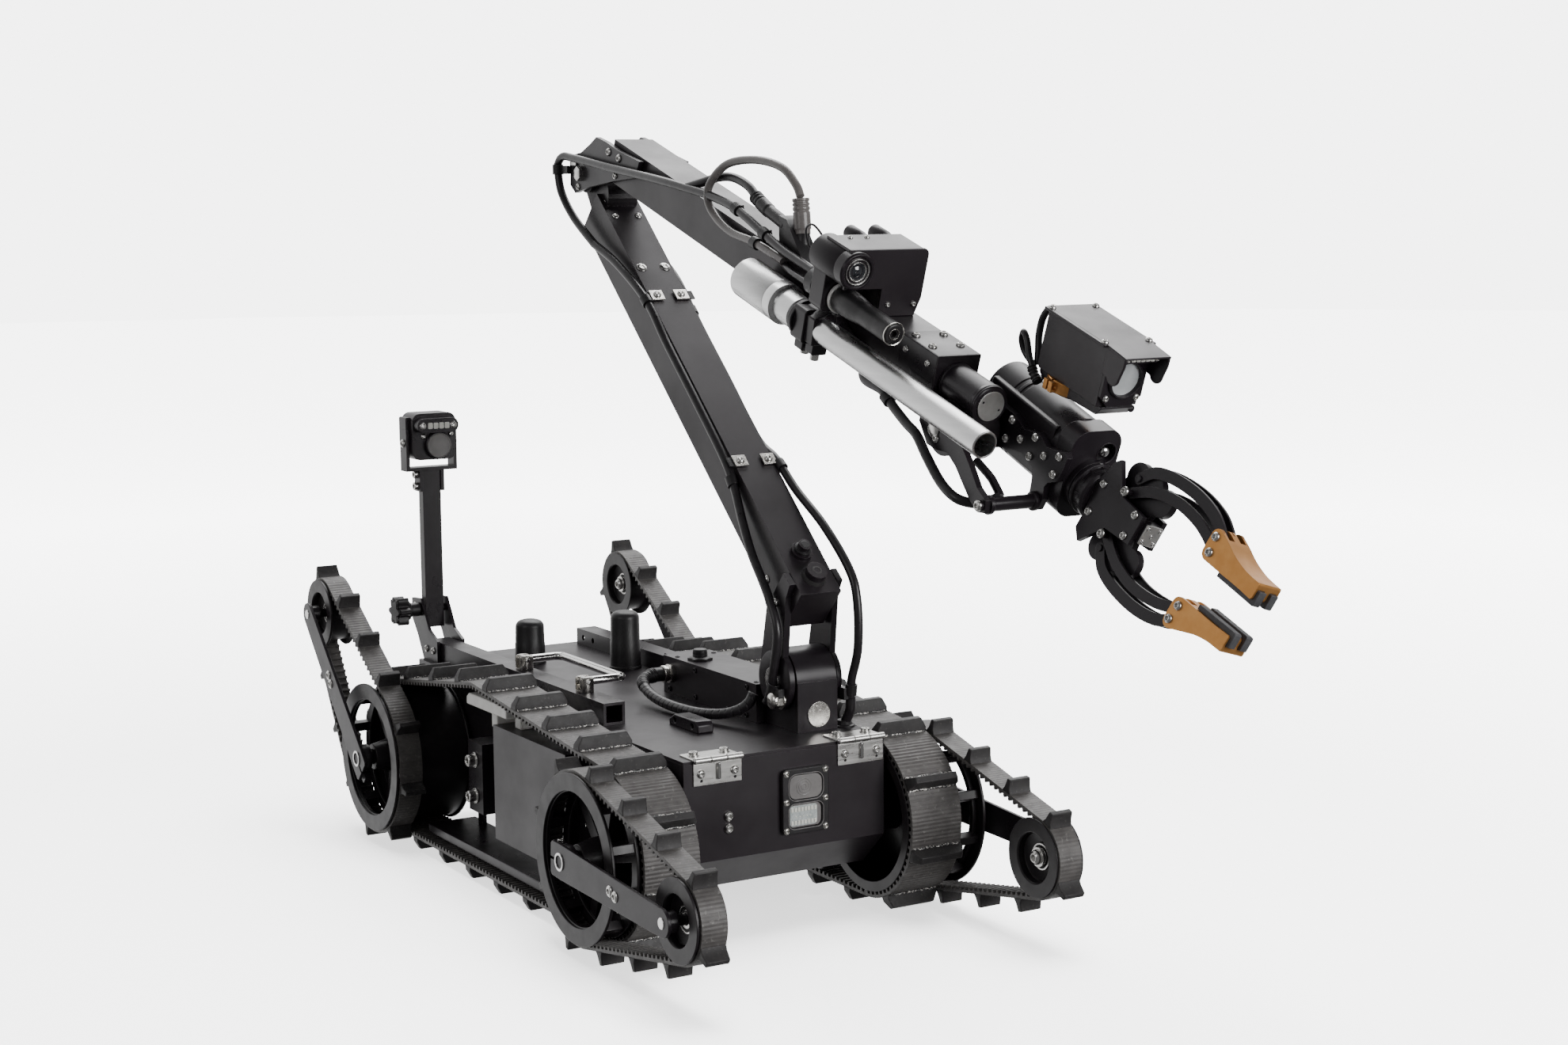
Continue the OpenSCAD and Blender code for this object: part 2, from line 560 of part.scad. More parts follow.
// ---------- gripper ----------
near_plate = [[478, 514], [482, 528], [494, 535], [510, 535], [522, 527], [530, 512], [541, 500],
  [555, 481], [567, 462], [580, 452], [578, 441], [567, 441], [556, 450], [544, 465], [534, 478],
  [521, 489], [505, 490], [490, 494]];
far_plate = [[484, 500], [482, 520], [494, 534], [512, 534], [527, 528], [543, 521], [550, 516],
  [558, 509], [578, 507], [584, 503], [591, 496], [605, 494], [617, 493], [620, 488], [611, 474],
  [604, 467], [592, 465], [587, 461], [585, 450], [577, 440], [567, 442], [566, 455], [569, 466],
  [570, 476], [554, 488], [531, 491], [500, 488]];
module wrist_plates() color(black) {
  along_y(34.5, 40.4) polygon(near_plate);
  along_y(91, 97.3) polygon(far_plate);
  rod_y(wrist_rod.x, wrist_rod.y, 6.2, 40, 92);
  color(steel) rod_y(wrist_rod.x, wrist_rod.y, 4.6, 31, 35);
  rod_y(wrist.x, wrist.y, 9, 34.5, 97.3);
  color(soft_black) cable([[530, 60, 481], [540, 60, 475], [553, 60, 467], [566, 60, 453]], 3.8);
}
module gripper_housing() color(black) at_grip() {
  difference() {
    union() {
      rod_x(0, 0, 25, -186, -56);
      rod_x(0, 25, 25, -186, -70);
      translate([-76, -25, -31]) rotate([90, 0, 90]) slab(50, 79, 14, 20);
      block([-180, -25, -12], [-84, 12, 40]);
    }
    rod_x(0, 0, 12 + fit, -90, -50);
    rod_x(12, 27, 8, -62, -50);
  }
}
module at_cam() translate(cam_o) rotate([0, 20, 0]) scale(grip_size) children();
module gripper_camera() color(black) at_cam() difference() {
  union() {
    block([-43, -21, 0], [44, 21, 52]);
    block([-43, -27, 52], [66, 27, 54.5]);
    for (y = [-27, 24.5]) block([40, y, 36], [66, y + 2.5, 54.5]);
    rod_x(0, 24, 17, 44, 48);
    block([50, -16, 46], [58, 16, 52]);
  }
  rod_x(0, 24, 14, 45, 50);
}
module camera_clamp() color([0.8, 0.55, 0.2]) at_cam() difference() {
  union() {
    translate([-16, 0, -10]) cylinder(r = 23, h = 10);
    block([-34, -12, -12], [8, 12, -4]);
  }
  translate([-16, 0, -14]) cylinder(r = 8, h = 12);
}
star_y0 = 10;                    // inner and outer faces of the palm's star plates
star_y1 = 14.7;
centre_y = 3.4;                  // half thickness of the palm's centre block
outer_y = centre_y + gap;        // inner faces of the outer links' bars
inner_y = outer_y + link_t + gap; // inner faces of the inner links' bars
tip_half = 13.2;                 // half width of a fingertip
pin_r = 3;
eye = 0.7;                       // how much a link is wider at its ends
inner_p = [0, palm_half];        // finger pivots: palm ends, then fingertip ends
outer_p = [-2, palm_half + 13];
inner_t = [tip_reach, 24.6];
outer_t = [tip_reach - 2, 37.6];
module star_shape() polygon([[-30, -19], [-33, 13], [-27, 33], [-21, 38.5], [-1, 15], [30, 13],
  [30, -13], [-1, -15], [-21, -38.5], [-30, -30]]);
module palm_plates() color(black) at_palm() union() {
  for (y = [-star_y1, star_y0]) along_y(y, y + star_y1 - star_y0) star_shape();
  along_y(-star_y0, star_y0) translate([-32, -11]) square([24, 22]);
  block([22, -star_y0, -9], [33, star_y0, 9]);
  rod_x(0, 0, 20, -50, -32);
  rod_x(0, 0, 12, -86, -50);
  for (s = [-1, 1]) {
    rod_y(4, s * 18, 22, -centre_y, centre_y);
    for (c = [[-7, 33, 12], [13, 32, 12], [29, 28, 12]]) rod_y(c.x, s * c.y, c.z, -centre_y, centre_y);
    rod_y(inner_p.x, s * inner_p.y, pin_r, -star_y1 - 1.5, star_y1 + 1.5);
    rod_y(outer_p.x, s * outer_p.y, pin_r, -outer_y - link_t - 1.4, outer_y + link_t + 1.4);
  }
}
// a curved bar of constant width with round ends, along a centre line
module band(P, r) {
  T = [for (i = [0:len(P) - 1]) along(P, i)];
  polygon(concat([for (i = [0:len(P) - 1]) P[i] + r * [-T[i].y, T[i].x]],
    [for (i = [len(P) - 1:-1:0]) P[i] + r * [T[i].y, -T[i].x]]));
  for (q = [P[0], P[len(P) - 1]]) translate(q) circle(r + eye);
}
module link_bars(P, r, y0) for (y = [-y0 - link_t, y0]) difference() {
  along_y(y, y + link_t) band(smooth(P), r);
  for (q = [P[0], P[len(P) - 1]]) rod_y(q.x, q.y, pin_r + fit, -20, 20);
}
module outer_link() link_bars([outer_p, [10, 45], [31, 51], [60, 52.5], [86, 48], outer_t], 5, outer_y);
module inner_link() link_bars([inner_p, [22, 32.5], [48, 38.5], [76, 37], [96, 31], inner_t], 4.6, inner_y);
module fingertip() {
  difference() {
    along_y(-tip_half, tip_half) polygon([[99, 38], [104, 44.5], [116, 42], [138, 33], [165, 30.5],
      [165, 16.5], [122, 17], [104, 17.8], [99, 23]]);
    both_sides() block([95, centre_y, 10], [115, inner_y + link_t + gap, 50]);
  }
  for (q = [inner_t, outer_t]) rod_y(q.x, q.y, pin_r, -tip_half - 1.5, tip_half + 1.5);
  color(soft_black) for (y = [-11, 3]) along_y(y, y + 8)
    polygon([[122, 17.2], [122, 12.5], [168, 12], [168, 26], [164.8, 26], [164.8, 16.3]]);
}
module upper_finger() at_palm() children();
module lower_finger() at_palm() mirror([0, 0, 1]) children();
module outer_link_upper() color(black) upper_finger() outer_link();
module inner_link_upper() color(black) upper_finger() inner_link();
module fingertip_upper() color([0.82, 0.55, 0.22]) upper_finger() fingertip();
module outer_link_lower() color(black) lower_finger() outer_link();
module inner_link_lower() color(black) lower_finger() inner_link();
module fingertip_lower() color([0.82, 0.55, 0.22]) lower_finger() fingertip();

hull_tub();
side_pods();
battery_pack();
control_electronics();
drive_gearmotors();
main_track_right();
main_track_left();
track_guides();
tensioner_plates();
front_panel();
panel_windows();
hinge_lower_leaves();
hull_fasteners();
axle_hubs();
lid_plate();
hinge_upper_leaves();
accessory_rails();
antennas();
shoulder_motor_box();
shoulder_gearbox();
mast_bracket();
lid_fittings();
base_cable();
carry_handle();
mast_post();
mast_camera();
mast_knob();
drive_wheel_fr();
drive_wheel_fl();
drive_wheel_rr();
drive_wheel_rl();
front_flipper_arms();
front_flipper_tracks();
rear_flipper_arms();
rear_flipper_tracks();
tip_wheel_fr();
tip_wheel_fl();
tip_wheel_rr();
tip_wheel_rl();
upper_arm();
shoulder_plates();
upper_arm_cables();
forearm();
elbow_plates();
barrel();
barrel_clamp();
aiming_camera();
wrist_gearbox();
forearm_cables();
wrist_plates();
gripper_housing();
gripper_camera();
camera_clamp();
palm_plates();
outer_link_upper();
inner_link_upper();
fingertip_upper();
outer_link_lower();
inner_link_lower();
fingertip_lower();
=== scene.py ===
"""Looks of a tracked robot with flippers, arm, gripper and camera mast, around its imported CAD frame.

Sizes are millimetres in the CAD's own frame (+X forward, +Y left, +Z up) until Part.linked turns them into
metres.
"""

import json
import math

import bmesh
import bpy
from mathutils import Matrix, Vector


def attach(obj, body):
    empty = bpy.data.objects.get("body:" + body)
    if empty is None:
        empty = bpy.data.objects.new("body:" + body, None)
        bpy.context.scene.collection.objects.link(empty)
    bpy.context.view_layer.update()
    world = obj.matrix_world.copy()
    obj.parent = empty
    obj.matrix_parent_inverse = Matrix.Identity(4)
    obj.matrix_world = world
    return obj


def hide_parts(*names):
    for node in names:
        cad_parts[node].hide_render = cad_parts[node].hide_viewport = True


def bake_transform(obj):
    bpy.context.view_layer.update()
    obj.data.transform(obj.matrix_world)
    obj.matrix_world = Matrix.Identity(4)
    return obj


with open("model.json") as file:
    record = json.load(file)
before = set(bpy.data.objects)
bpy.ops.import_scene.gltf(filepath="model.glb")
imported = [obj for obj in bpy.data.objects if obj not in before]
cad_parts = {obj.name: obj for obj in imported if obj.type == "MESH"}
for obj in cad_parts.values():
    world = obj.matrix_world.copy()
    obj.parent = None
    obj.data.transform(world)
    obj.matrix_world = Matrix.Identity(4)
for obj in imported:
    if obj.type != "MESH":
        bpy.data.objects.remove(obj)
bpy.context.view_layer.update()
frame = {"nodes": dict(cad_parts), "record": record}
nodes = frame["nodes"]

MM = 0.001
HALF_BASE = 257.0                # from the middle of the robot to each axle
AXLE_Z = 98.0
ARM_Y = 66.0                     # the arm's middle plane
FLIPPER_LEN = 201.0              # from the drive wheel's axle to the tip wheel's
FRONT_FLIPPER_A = -2.5           # where each pair of flippers points, in degrees up from forward
REAR_FLIPPER_A = 135.0
GRIP = 1.044                     # size of the gripper and its camera against their drawn numbers
HULL_FRONT = 300.0
DECK = 187.0                     # top of the lid
RAIL_Y = -89.0                   # middle of the rail with the handle and the mast
SHARP = 0.01                     # chamfer of the rods that cut a bore
SHOULDER = (218.0, 0, 237.0)     # joint axes of the arm, which run along Y
ELBOW = (-190.0, 0, 739.0)
WRIST = (501.3, 0, 508.4)


def placed(origin, pitch=0.0, roll=0.0, size=1.0):
    """A local frame: moved to origin, pitched nose-down about Y, then rolled about its own X."""
    turn = Matrix.Rotation(math.radians(pitch), 4, "Y") @ Matrix.Rotation(math.radians(roll), 4, "X")
    return Matrix.Translation(Vector(origin)) @ turn @ Matrix.Scale(size, 4)


WORLD = placed((0, 0, 0))
UPPER = placed((260, ARM_Y, 327), -137.6)
FORE = placed((-121, ARM_Y, 775), 18.44)
BARREL = FORE @ Matrix.Translation((352, -46, -31))
HAND = placed((659.6, 123.5, 440.7), 23, 0, GRIP)
PALM = placed((659.6, 123.5, 440.7), 23, -17.8, GRIP)
EYE = placed((609.1, 119.3, 548.9), 20, 0, GRIP)
FLIPPERS = {
    "front": placed((HALF_BASE, 0, AXLE_Z), -FRONT_FLIPPER_A),
    "rear": placed((-HALF_BASE, 0, AXLE_Z), -REAR_FLIPPER_A),
}


# ---------- mesh building ----------
def arc(cx, cy, r, a0, a1, n):
    """Points on a circle from angle a0 to a1, in n steps."""
    return [(cx + r * math.cos(math.radians(a0 + (a1 - a0) * i / n)),
             cy + r * math.sin(math.radians(a0 + (a1 - a0) * i / n))) for i in range(n + 1)]


def rounded(x0, z0, x1, z1, r, n=5):
    """Outline of a rectangle with round corners."""
    return (arc(x1 - r, z1 - r, r, 0, 90, n) + arc(x0 + r, z1 - r, r, 90, 180, n)
            + arc(x0 + r, z0 + r, r, 180, 270, n) + arc(x1 - r, z0 + r, r, 270, 360, n))


def capsule(a, b, ra, rb, n=12):
    """Outline of a bar with round ends of two sizes, in a plane."""
    ax, ay, bx, by = *a, *b
    along = math.degrees(math.atan2(by - ay, bx - ax))
    tilt = math.degrees(math.asin((ra - rb) / math.hypot(bx - ax, by - ay)))
    return (arc(bx, by, rb, along - 90 + tilt, along + 90 - tilt, n)
            + arc(ax, ay, ra, along + 90 - tilt, along + 270 + tilt, n))


def smooth(points, steps=4):
    """Catmull-Rom curve through the points."""
    P = [Vector(p) for p in points]
    out = []
    for i in range(len(P) - 1):
        a, b, c, d = P[max(i - 1, 0)], P[i], P[i + 1], P[min(i + 2, len(P) - 1)]
        for k in range(steps):
            t = k / steps
            out.append(0.5 * (2 * b + (c - a) * t + (2 * a - 5 * b + 4 * c - d) * t ** 2
                              + (3 * b - a - 3 * c + d) * t ** 3))
    return out + [P[-1]]


def span(side, a, b):
    """Two Y positions given for the left side, in order, on the side whose sign is given."""
    return sorted((side * a, side * b))


AXES = {"X": Matrix.Identity(3), "Y": Matrix(((0, 0, 1), (1, 0, 0), (0, 1, 0))),
        "Z": Matrix(((0, 1, 0), (0, 0, 1), (1, 0, 0)))}
FROM_PLANE = {"X": lambda u, v, t: (t, u, v), "Y": lambda u, v, t: (u, t, v), "Z": lambda u, v, t: (u, v, t)}


class Part:
    """Collects solids in a local frame and makes one piece of them."""

    def __init__(self, local=WORLD):
        self.bm = bmesh.new()
        self.local = local

    def solid(self, verts, faces):
        made = [self.bm.verts.new(self.local @ Vector(v)) for v in verts]
        for f in faces:
            self.bm.faces.new([made[i] for i in f])
        return self

    def prism(self, outline, lo, hi, axis="Y"):
        """Extrudes a flat outline along an axis."""
        n = len(outline)
        verts = [FROM_PLANE[axis](u, v, t) for t in (lo, hi) for u, v in outline]
        faces = [list(range(n)), list(range(2 * n - 1, n - 1, -1))]
        faces += [[i, (i + 1) % n, n + (i + 1) % n, n + i] for i in range(n)]
        return self.solid(verts, faces)

    def box(self, a, b):
        """A box between its lowest and its highest corner."""
        return self.prism([(a[0], a[2]), (b[0], a[2]), (b[0], b[2]), (a[0], b[2])], a[1], b[1])

    def plate(self, outer, hole, lo, hi, axis="Y"):
        """A flat plate with one opening; both outlines have the same number of points."""
        n = len(outer)
        verts = [FROM_PLANE[axis](u, v, t) for loop in (outer, hole) for t in (lo, hi) for u, v in loop]
        faces = []
        for i in range(n):
            j = (i + 1) % n
            faces += [[i, j, n + j, n + i], [2 * n + j, 2 * n + i, 3 * n + i, 3 * n + j],
                      [j, i, 2 * n + i, 2 * n + j], [n + i, n + j, 3 * n + j, 3 * n + i]]
        return self.solid(verts, faces)

    def lathe(self, profile, centre=(0, 0, 0), axis="X", seg=40, closed=True):
        """Turns a profile of (distance along axis, radius). A third value makes that ring a hexagon.

        A profile that starts and ends on the axis makes a full solid, and any other closed one a hollow ring.
        """
        turn = axis if isinstance(axis, Matrix) else AXES[axis]
        c = Vector(centre)
        rings, verts = [], []
        for t, r, *six in profile:
            if r < 1e-6:
                verts.append(c + turn @ Vector((t, 0, 0)))
                rings.append([len(verts) - 1] * seg)
                continue
            ring = []
            for k in range(seg):
                a = 2 * math.pi * k / seg
                q = r * math.cos(math.pi / 6) / math.cos(a % (math.pi / 3) - math.pi / 6) if six else r
                verts.append(c + turn @ Vector((t, q * math.cos(a), q * math.sin(a))))
                ring.append(len(verts) - 1)
            rings.append(ring)
        faces = []
        for a, b in zip(rings, rings[1:] + (rings[:1] if closed else [])):
            for k in range(seg):
                j = (k + 1) % seg
                loop = list(dict.fromkeys((a[k], a[j], b[j], b[k])))
                if len(loop) > 2:
                    faces.append(loop)
        return self.solid(verts, faces)

    def rod(self, centre, r, lo, hi, axis="Y", seg=32, chamfer=0.5):
        """A round bar from lo to hi along an axis, with chamfered ends."""
        c = min(chamfer, r * 0.4, (hi - lo) * 0.4)
        ends = [(lo, 0), (lo, r - c), (lo + c, r), (hi - c, r), (hi, r - c), (hi, 0)]
        return self.lathe(ends, centre, axis, seg)

    def head(self, at, toward, r, h, kind="button"):
        """A screw's head: button is domed, cap is a cylinder and plain is a dome without a socket."""
        turn = Vector(toward).normalized().to_track_quat("X", "Z").to_matrix()
        hex_r = 0.52 * r if kind == "cap" else 0.46 * r
        ring = {"button": [(0, r), (0.3 * h, r), (0.7 * h, 0.86 * r), (h, 0.58 * r)],
                "cap": [(0, r), (h - 0.12 * r, r), (h, 0.88 * r)],
                "plain": [(0, r), (0.35 * h, r), (0.75 * h, 0.8 * r), (h, 0.35 * r)]}[kind]
        recess = [(h, 0)]
        if kind != "plain":
            recess = [(h, 1.1 * hex_r), (h - 0.1 * r, hex_r, True), (0.3 * h, hex_r, True), (0.3 * h, 0)]
        return self.lathe([(-0.2 * h, 0), (-0.2 * h, r)] + ring + recess, Vector(at), turn, 24)

    def tube(self, points, r, seg=12, steps=4, ridge=None, twist=0.0):
        """A round bar swept along a smooth route.

        ridge(distance) scales its radius, and twist is the pitch that turns its rings into a screw.
        """
        P = smooth(points, steps)
        verts, faces = [], []
        up, gone = None, 0.0
        for i, p in enumerate(P):
            t = (P[min(i + 1, len(P) - 1)] - P[max(i - 1, 0)]).normalized()
            if i:
                gone += (p - P[i - 1]).length
            up = t.orthogonal() if up is None else (up - t * up.dot(t))
            up.normalize()
            side = t.cross(up)
            for k in range(seg):
                a = 2 * math.pi * k / seg
                q = r * (ridge(gone + twist * k / seg) if ridge else 1)
                verts.append(p + q * (math.cos(a) * up + math.sin(a) * side))
        m = len(P)
        for i in range(m - 1):
            for k in range(seg):
                j = (k + 1) % seg
                faces.append([i * seg + k, i * seg + j, (i + 1) * seg + j, (i + 1) * seg + k])
        faces += [list(range(seg - 1, -1, -1)), list(range((m - 1) * seg, m * seg))]
        return self.solid(verts, faces)

    def linked(self, name):
        """The collected solids as an object in the scene, in metres."""
        bmesh.ops.remove_doubles(self.bm, verts=self.bm.verts, dist=1e-4)
        bmesh.ops.recalc_face_normals(self.bm, faces=self.bm.faces)
        self.bm.transform(Matrix.Scale(MM, 4))
        mesh = bpy.data.meshes.new(name)
        self.bm.to_mesh(mesh)
        self.bm.free()
        piece = bpy.data.objects.new(name, mesh)
        bpy.context.scene.collection.objects.link(piece)
        return piece

    def make(self, name, look, body, bevel=0.0, sharp=32, replaces=(), segments=2, cuts=None):
        """Makes the piece; cuts is a Part whose solids are taken out of it."""
        piece = self.linked(name)
        if cuts:
            tool = cuts.linked("cutter")
            mod = piece.modifiers.new("cut", "BOOLEAN")
            mod.object = tool
            mod.solver = "EXACT"
            mod.use_self = True
            bpy.context.view_layer.update()
            graph = bpy.context.evaluated_depsgraph_get()
            carved = bpy.data.meshes.new_from_object(piece.evaluated_get(graph))
            piece.modifiers.clear()
            piece.data = carved
            bpy.data.objects.remove(tool)
        mesh = piece.data
        mesh.polygons.foreach_set("use_smooth", [True] * len(mesh.polygons))
        mesh.set_sharp_from_angle(angle=math.radians(sharp))
        mesh.materials.clear()
        mesh.materials.append(look[0])
        if bevel:
            mod = piece.modifiers.new("edges", "BEVEL")
            mod.width = bevel * MM
            mod.segments = segments
            mod.limit_method = "ANGLE"
            mod.angle_limit = math.radians(38)
            mod.use_clamp_overlap = True
        if body:
            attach(piece, body)
        if replaces:
            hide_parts(*replaces)
        return piece


def side_box(part, s, a, b):
    """A box given for the left side, put on the side whose sign is given."""
    y0, y1 = span(s, a[1], b[1])
    return part.box((a[0], y0, a[2]), (b[0], y1, b[2]))


# ---------- materials ----------
def looks(name, slot, colour, second, metallic, rough, grain, bump=0.1, bump_grain=None, stretch=(1, 1, 1),
          edge_wear_and_highlight=0.0, coat=0.0, spots=None, spec=0.5, radius=0.5):
    """A procedural surface: two colours clouded together, roughness that varies, bump, soft edges, and edges
    lightened in colour, partly as wear and partly as a painted highlight.

    grain and bump_grain are the sizes of the features in millimetres and radius that of the soft edges.
    rough is (lowest, highest) and spots is (colour, size in mm, share of the surface).
    """
    mat = bpy.data.materials.new(name)
    mat.use_nodes = True
    tree = mat.node_tree
    tree.nodes.clear()
    make, link = tree.nodes.new, tree.links.new
    out, shader = make("ShaderNodeOutputMaterial"), make("ShaderNodeBsdfPrincipled")
    link(shader.outputs[0], out.inputs[0])
    place, squeeze = make("ShaderNodeTexCoord"), make("ShaderNodeMapping")
    squeeze.inputs["Scale"].default_value = stretch
    link(place.outputs["Object"], squeeze.inputs[0])

    def noise(size, detail=6.0):
        n = make("ShaderNodeTexNoise")
        n.inputs["Scale"].default_value = 1000.0 / size
        n.inputs["Detail"].default_value = detail
        n.inputs["Roughness"].default_value = 0.55
        link(squeeze.outputs[0], n.inputs["Vector"])
        return n.outputs["Fac"]

    def mapped(value, lo, hi, to_lo=0.0, to_hi=1.0):
        m = make("ShaderNodeMapRange")
        for i, v in enumerate((lo, hi, to_lo, to_hi)):
            m.inputs[i + 1].default_value = v
        link(value, m.inputs[0])
        return m.outputs[0]

    def mix(factor, a, b):
        m = make("ShaderNodeMix")
        m.data_type = "RGBA"
        link(factor, m.inputs["Factor"])
        for socket, v in ((m.inputs[6], a), (m.inputs[7], b)):
            if isinstance(v, tuple):
                socket.default_value = (*v, 1)
            else:
                link(v, socket)
        return m.outputs[2]

    clouds = noise(grain)
    shade = mix(mapped(clouds, 0.35, 0.65), colour, second)
    if spots:
        spot_colour, size, share = spots
        shade = mix(mapped(noise(size, 2.0), 1 - share - 0.03, 1 - share + 0.03), shade, spot_colour)
    soft = make("ShaderNodeBevel")
    soft.samples = 4
    soft.inputs["Radius"].default_value = radius * MM
    # Edges are painted lighter in colour: partly wear, partly a painted highlight along them.
    if edge_wear_and_highlight:
        shape = make("ShaderNodeNewGeometry")
        dot = make("ShaderNodeVectorMath")
        dot.operation = "DOT_PRODUCT"
        link(soft.outputs[0], dot.inputs[0])
        link(shape.outputs["Normal"], dot.inputs[1])
        edge_wear_and_highlight_mask = make("ShaderNodeMath")
        edge_wear_and_highlight_mask.operation = "MULTIPLY"
        link(mapped(dot.outputs["Value"], 0.995, 0.9), edge_wear_and_highlight_mask.inputs[0])
        link(mapped(noise(4.0), 0.4, 0.7, 0, edge_wear_and_highlight), edge_wear_and_highlight_mask.inputs[1])
        shade = mix(edge_wear_and_highlight_mask.outputs[0], shade, tuple(min(1, 0.16 + 2.2 * v) for v in colour))
    link(shade, shader.inputs["Base Color"])
    shader.inputs["Metallic"].default_value = metallic
    shader.inputs["Specular IOR Level"].default_value = spec
    shader.inputs["Coat Weight"].default_value = coat
    shader.inputs["Coat Roughness"].default_value = 0.12
    link(mapped(noise(grain * 0.6), 0.3, 0.7, *rough), shader.inputs["Roughness"])
    height = noise(bump_grain or grain * 0.1, 3.0)
    lift = make("ShaderNodeBump")
    lift.inputs["Strength"].default_value = bump
    lift.inputs["Distance"].default_value = 0.3 * MM
    link(height, lift.inputs["Height"])
    link(soft.outputs[0], lift.inputs["Normal"])
    link(lift.outputs[0], shader.inputs["Normal"])
    return mat, slot


ANODISED = looks("black anodised", "black_anodised", (0.013, 0.0095, 0.0125), (0.020, 0.016, 0.020), 0.1,
                 (0.26, 0.36), 45, 0.05, 0.7, edge_wear_and_highlight=0.5, spec=0.4)
SHEET = looks("black anodised sheet", "black_anodised", (0.018, 0.0135, 0.017), (0.026, 0.021, 0.025), 0.12,
              (0.30, 0.42), 90, 0.06, 0.8, edge_wear_and_highlight=0.5, spec=0.42)
DEEP = looks("black inside", "black_anodised", (0.006, 0.005, 0.006), (0.01, 0.009, 0.01), 0.0, (0.4, 0.55),
             30, 0.05, spec=0.3)
WHEEL = looks("black nylon", "black_anodised", (0.014, 0.011, 0.013), (0.021, 0.018, 0.020), 0.0,
              (0.30, 0.42), 25, 0.08, 0.6, edge_wear_and_highlight=0.3, spec=0.4)
# Belt rubber: its grey and its pale dust spots are lighter than the rubber itself, partly a painted sheen of
# the front-lit belt.
BELT_PAINTED_SHEEN = looks("belt rubber with painted sheen", "black_rubber", (0.085, 0.080, 0.077), (0.118, 0.111, 0.107), 0.0, (0.38, 0.55),
             12, 0.5, 0.5, spots=((0.16, 0.152, 0.146), 5.0, 0.34), spec=0.5)
LUG = looks("lug rubber", "black_rubber", (0.026, 0.024, 0.025), (0.038, 0.036, 0.036), 0.0, (0.42, 0.58),
            14, 0.45, 0.9, spots=((0.055, 0.053, 0.051), 3.0, 0.34), spec=0.4, radius=0.8)
# Glue bead: its near-white speckles are painted glints on the black bead.
BEAD_PAINTED_GLINTS = looks("glue bead with painted glints", "black_rubber", (0.03, 0.03, 0.03), (0.05, 0.05, 0.05), 0.0, (0.15, 0.4), 2.0, 1.0,
             1.2, spots=((0.75, 0.72, 0.68), 2.4, 0.44))
CABLE = looks("cable sheath", "cable_black", (0.014, 0.012, 0.014), (0.022, 0.019, 0.022), 0.0, (0.26, 0.38),
              10, 0.12, 0.8)
GREY_CABLE = looks("grey cable sheath", "cable_black", (0.150, 0.138, 0.134), (0.185, 0.170, 0.164), 0.0,
                   (0.20, 0.30), 14, 0.08, 0.8)
STEEL = looks("stainless", "stainless", (0.66, 0.65, 0.63), (0.75, 0.74, 0.72), 1.0, (0.18, 0.32), 8, 0.06,
              0.5)
BRUSHED = looks("brushed stainless", "stainless", (0.62, 0.61, 0.59), (0.72, 0.71, 0.69), 1.0, (0.24, 0.38),
                6, 0.12, 0.6, stretch=(1, 0.08, 1))
SATIN = looks("satin steel", "stainless", (0.64, 0.63, 0.61), (0.72, 0.71, 0.69), 1.0, (0.42, 0.48), 8, 0.02)
CHROME = looks("chrome", "chrome", (0.78, 0.77, 0.76), (0.84, 0.83, 0.82), 1.0, (0.06, 0.14), 12, 0.02)
TUBE = looks("barrel aluminium", "barrel_metal", (0.66, 0.66, 0.66), (0.74, 0.74, 0.74), 1.0, (0.26, 0.32),
             6, 0.04, 0.5, stretch=(0.05, 1, 1))
GOLD = looks("gold anodised", "gold_anodised", (0.60, 0.27, 0.075), (0.68, 0.33, 0.105), 0.75, (0.28, 0.40),
             14, 0.06, 0.6, edge_wear_and_highlight=0.3)
WHITE = looks("white slide plastic", "white_plastic", (0.74, 0.73, 0.70), (0.83, 0.82, 0.79), 0.0,
              (0.38, 0.55), 12, 0.2, 0.8)
PLASTIC = looks("black moulded plastic", "black_plastic", (0.012, 0.011, 0.012), (0.019, 0.017, 0.019), 0.0,
                (0.32, 0.46), 18, 0.3, 0.6, spec=0.42)
WINDOW = looks("window", "window", (0.20, 0.19, 0.19), (0.25, 0.24, 0.235), 0.0, (0.12, 0.22), 20, 0.01,
               coat=0.3)
LENS = looks("lens glass", "window", (0.012, 0.014, 0.018), (0.02, 0.022, 0.028), 0.0, (0.03, 0.06), 20, 0.0,
             coat=1.0, spec=0.8)
GLASS = looks("front glass", "window", (0.42, 0.44, 0.45), (0.55, 0.57, 0.58), 0.0, (0.05, 0.10), 16, 0.01,
              coat=1.0)
LAMP = looks("lamp chips", "window", (0.78, 0.78, 0.72), (0.88, 0.87, 0.80), 0.0, (0.15, 0.3), 3, 0.1)
BOARD = looks("lamp board", "window", (0.42, 0.46, 0.46), (0.60, 0.64, 0.63), 0.0, (0.2, 0.35), 2.5, 0.3)
PAD = looks("pad rubber", "black_rubber", (0.05, 0.05, 0.055), (0.075, 0.075, 0.08), 0.0, (0.5, 0.65), 8,
            0.4, 0.7)
CASE = looks("battery case", "battery_case", (0.05, 0.05, 0.055), (0.08, 0.08, 0.085), 0.0, (0.4, 0.55), 15,
             0.3)
PCB = looks("circuit board", "circuit_board", (0.02, 0.10, 0.05), (0.04, 0.14, 0.07), 0.0, (0.3, 0.5), 6, 0.3)
NICKEL = looks("nickel", "stainless", (0.60, 0.58, 0.55), (0.70, 0.68, 0.64), 1.0, (0.16, 0.3), 5, 0.1, 0.5)

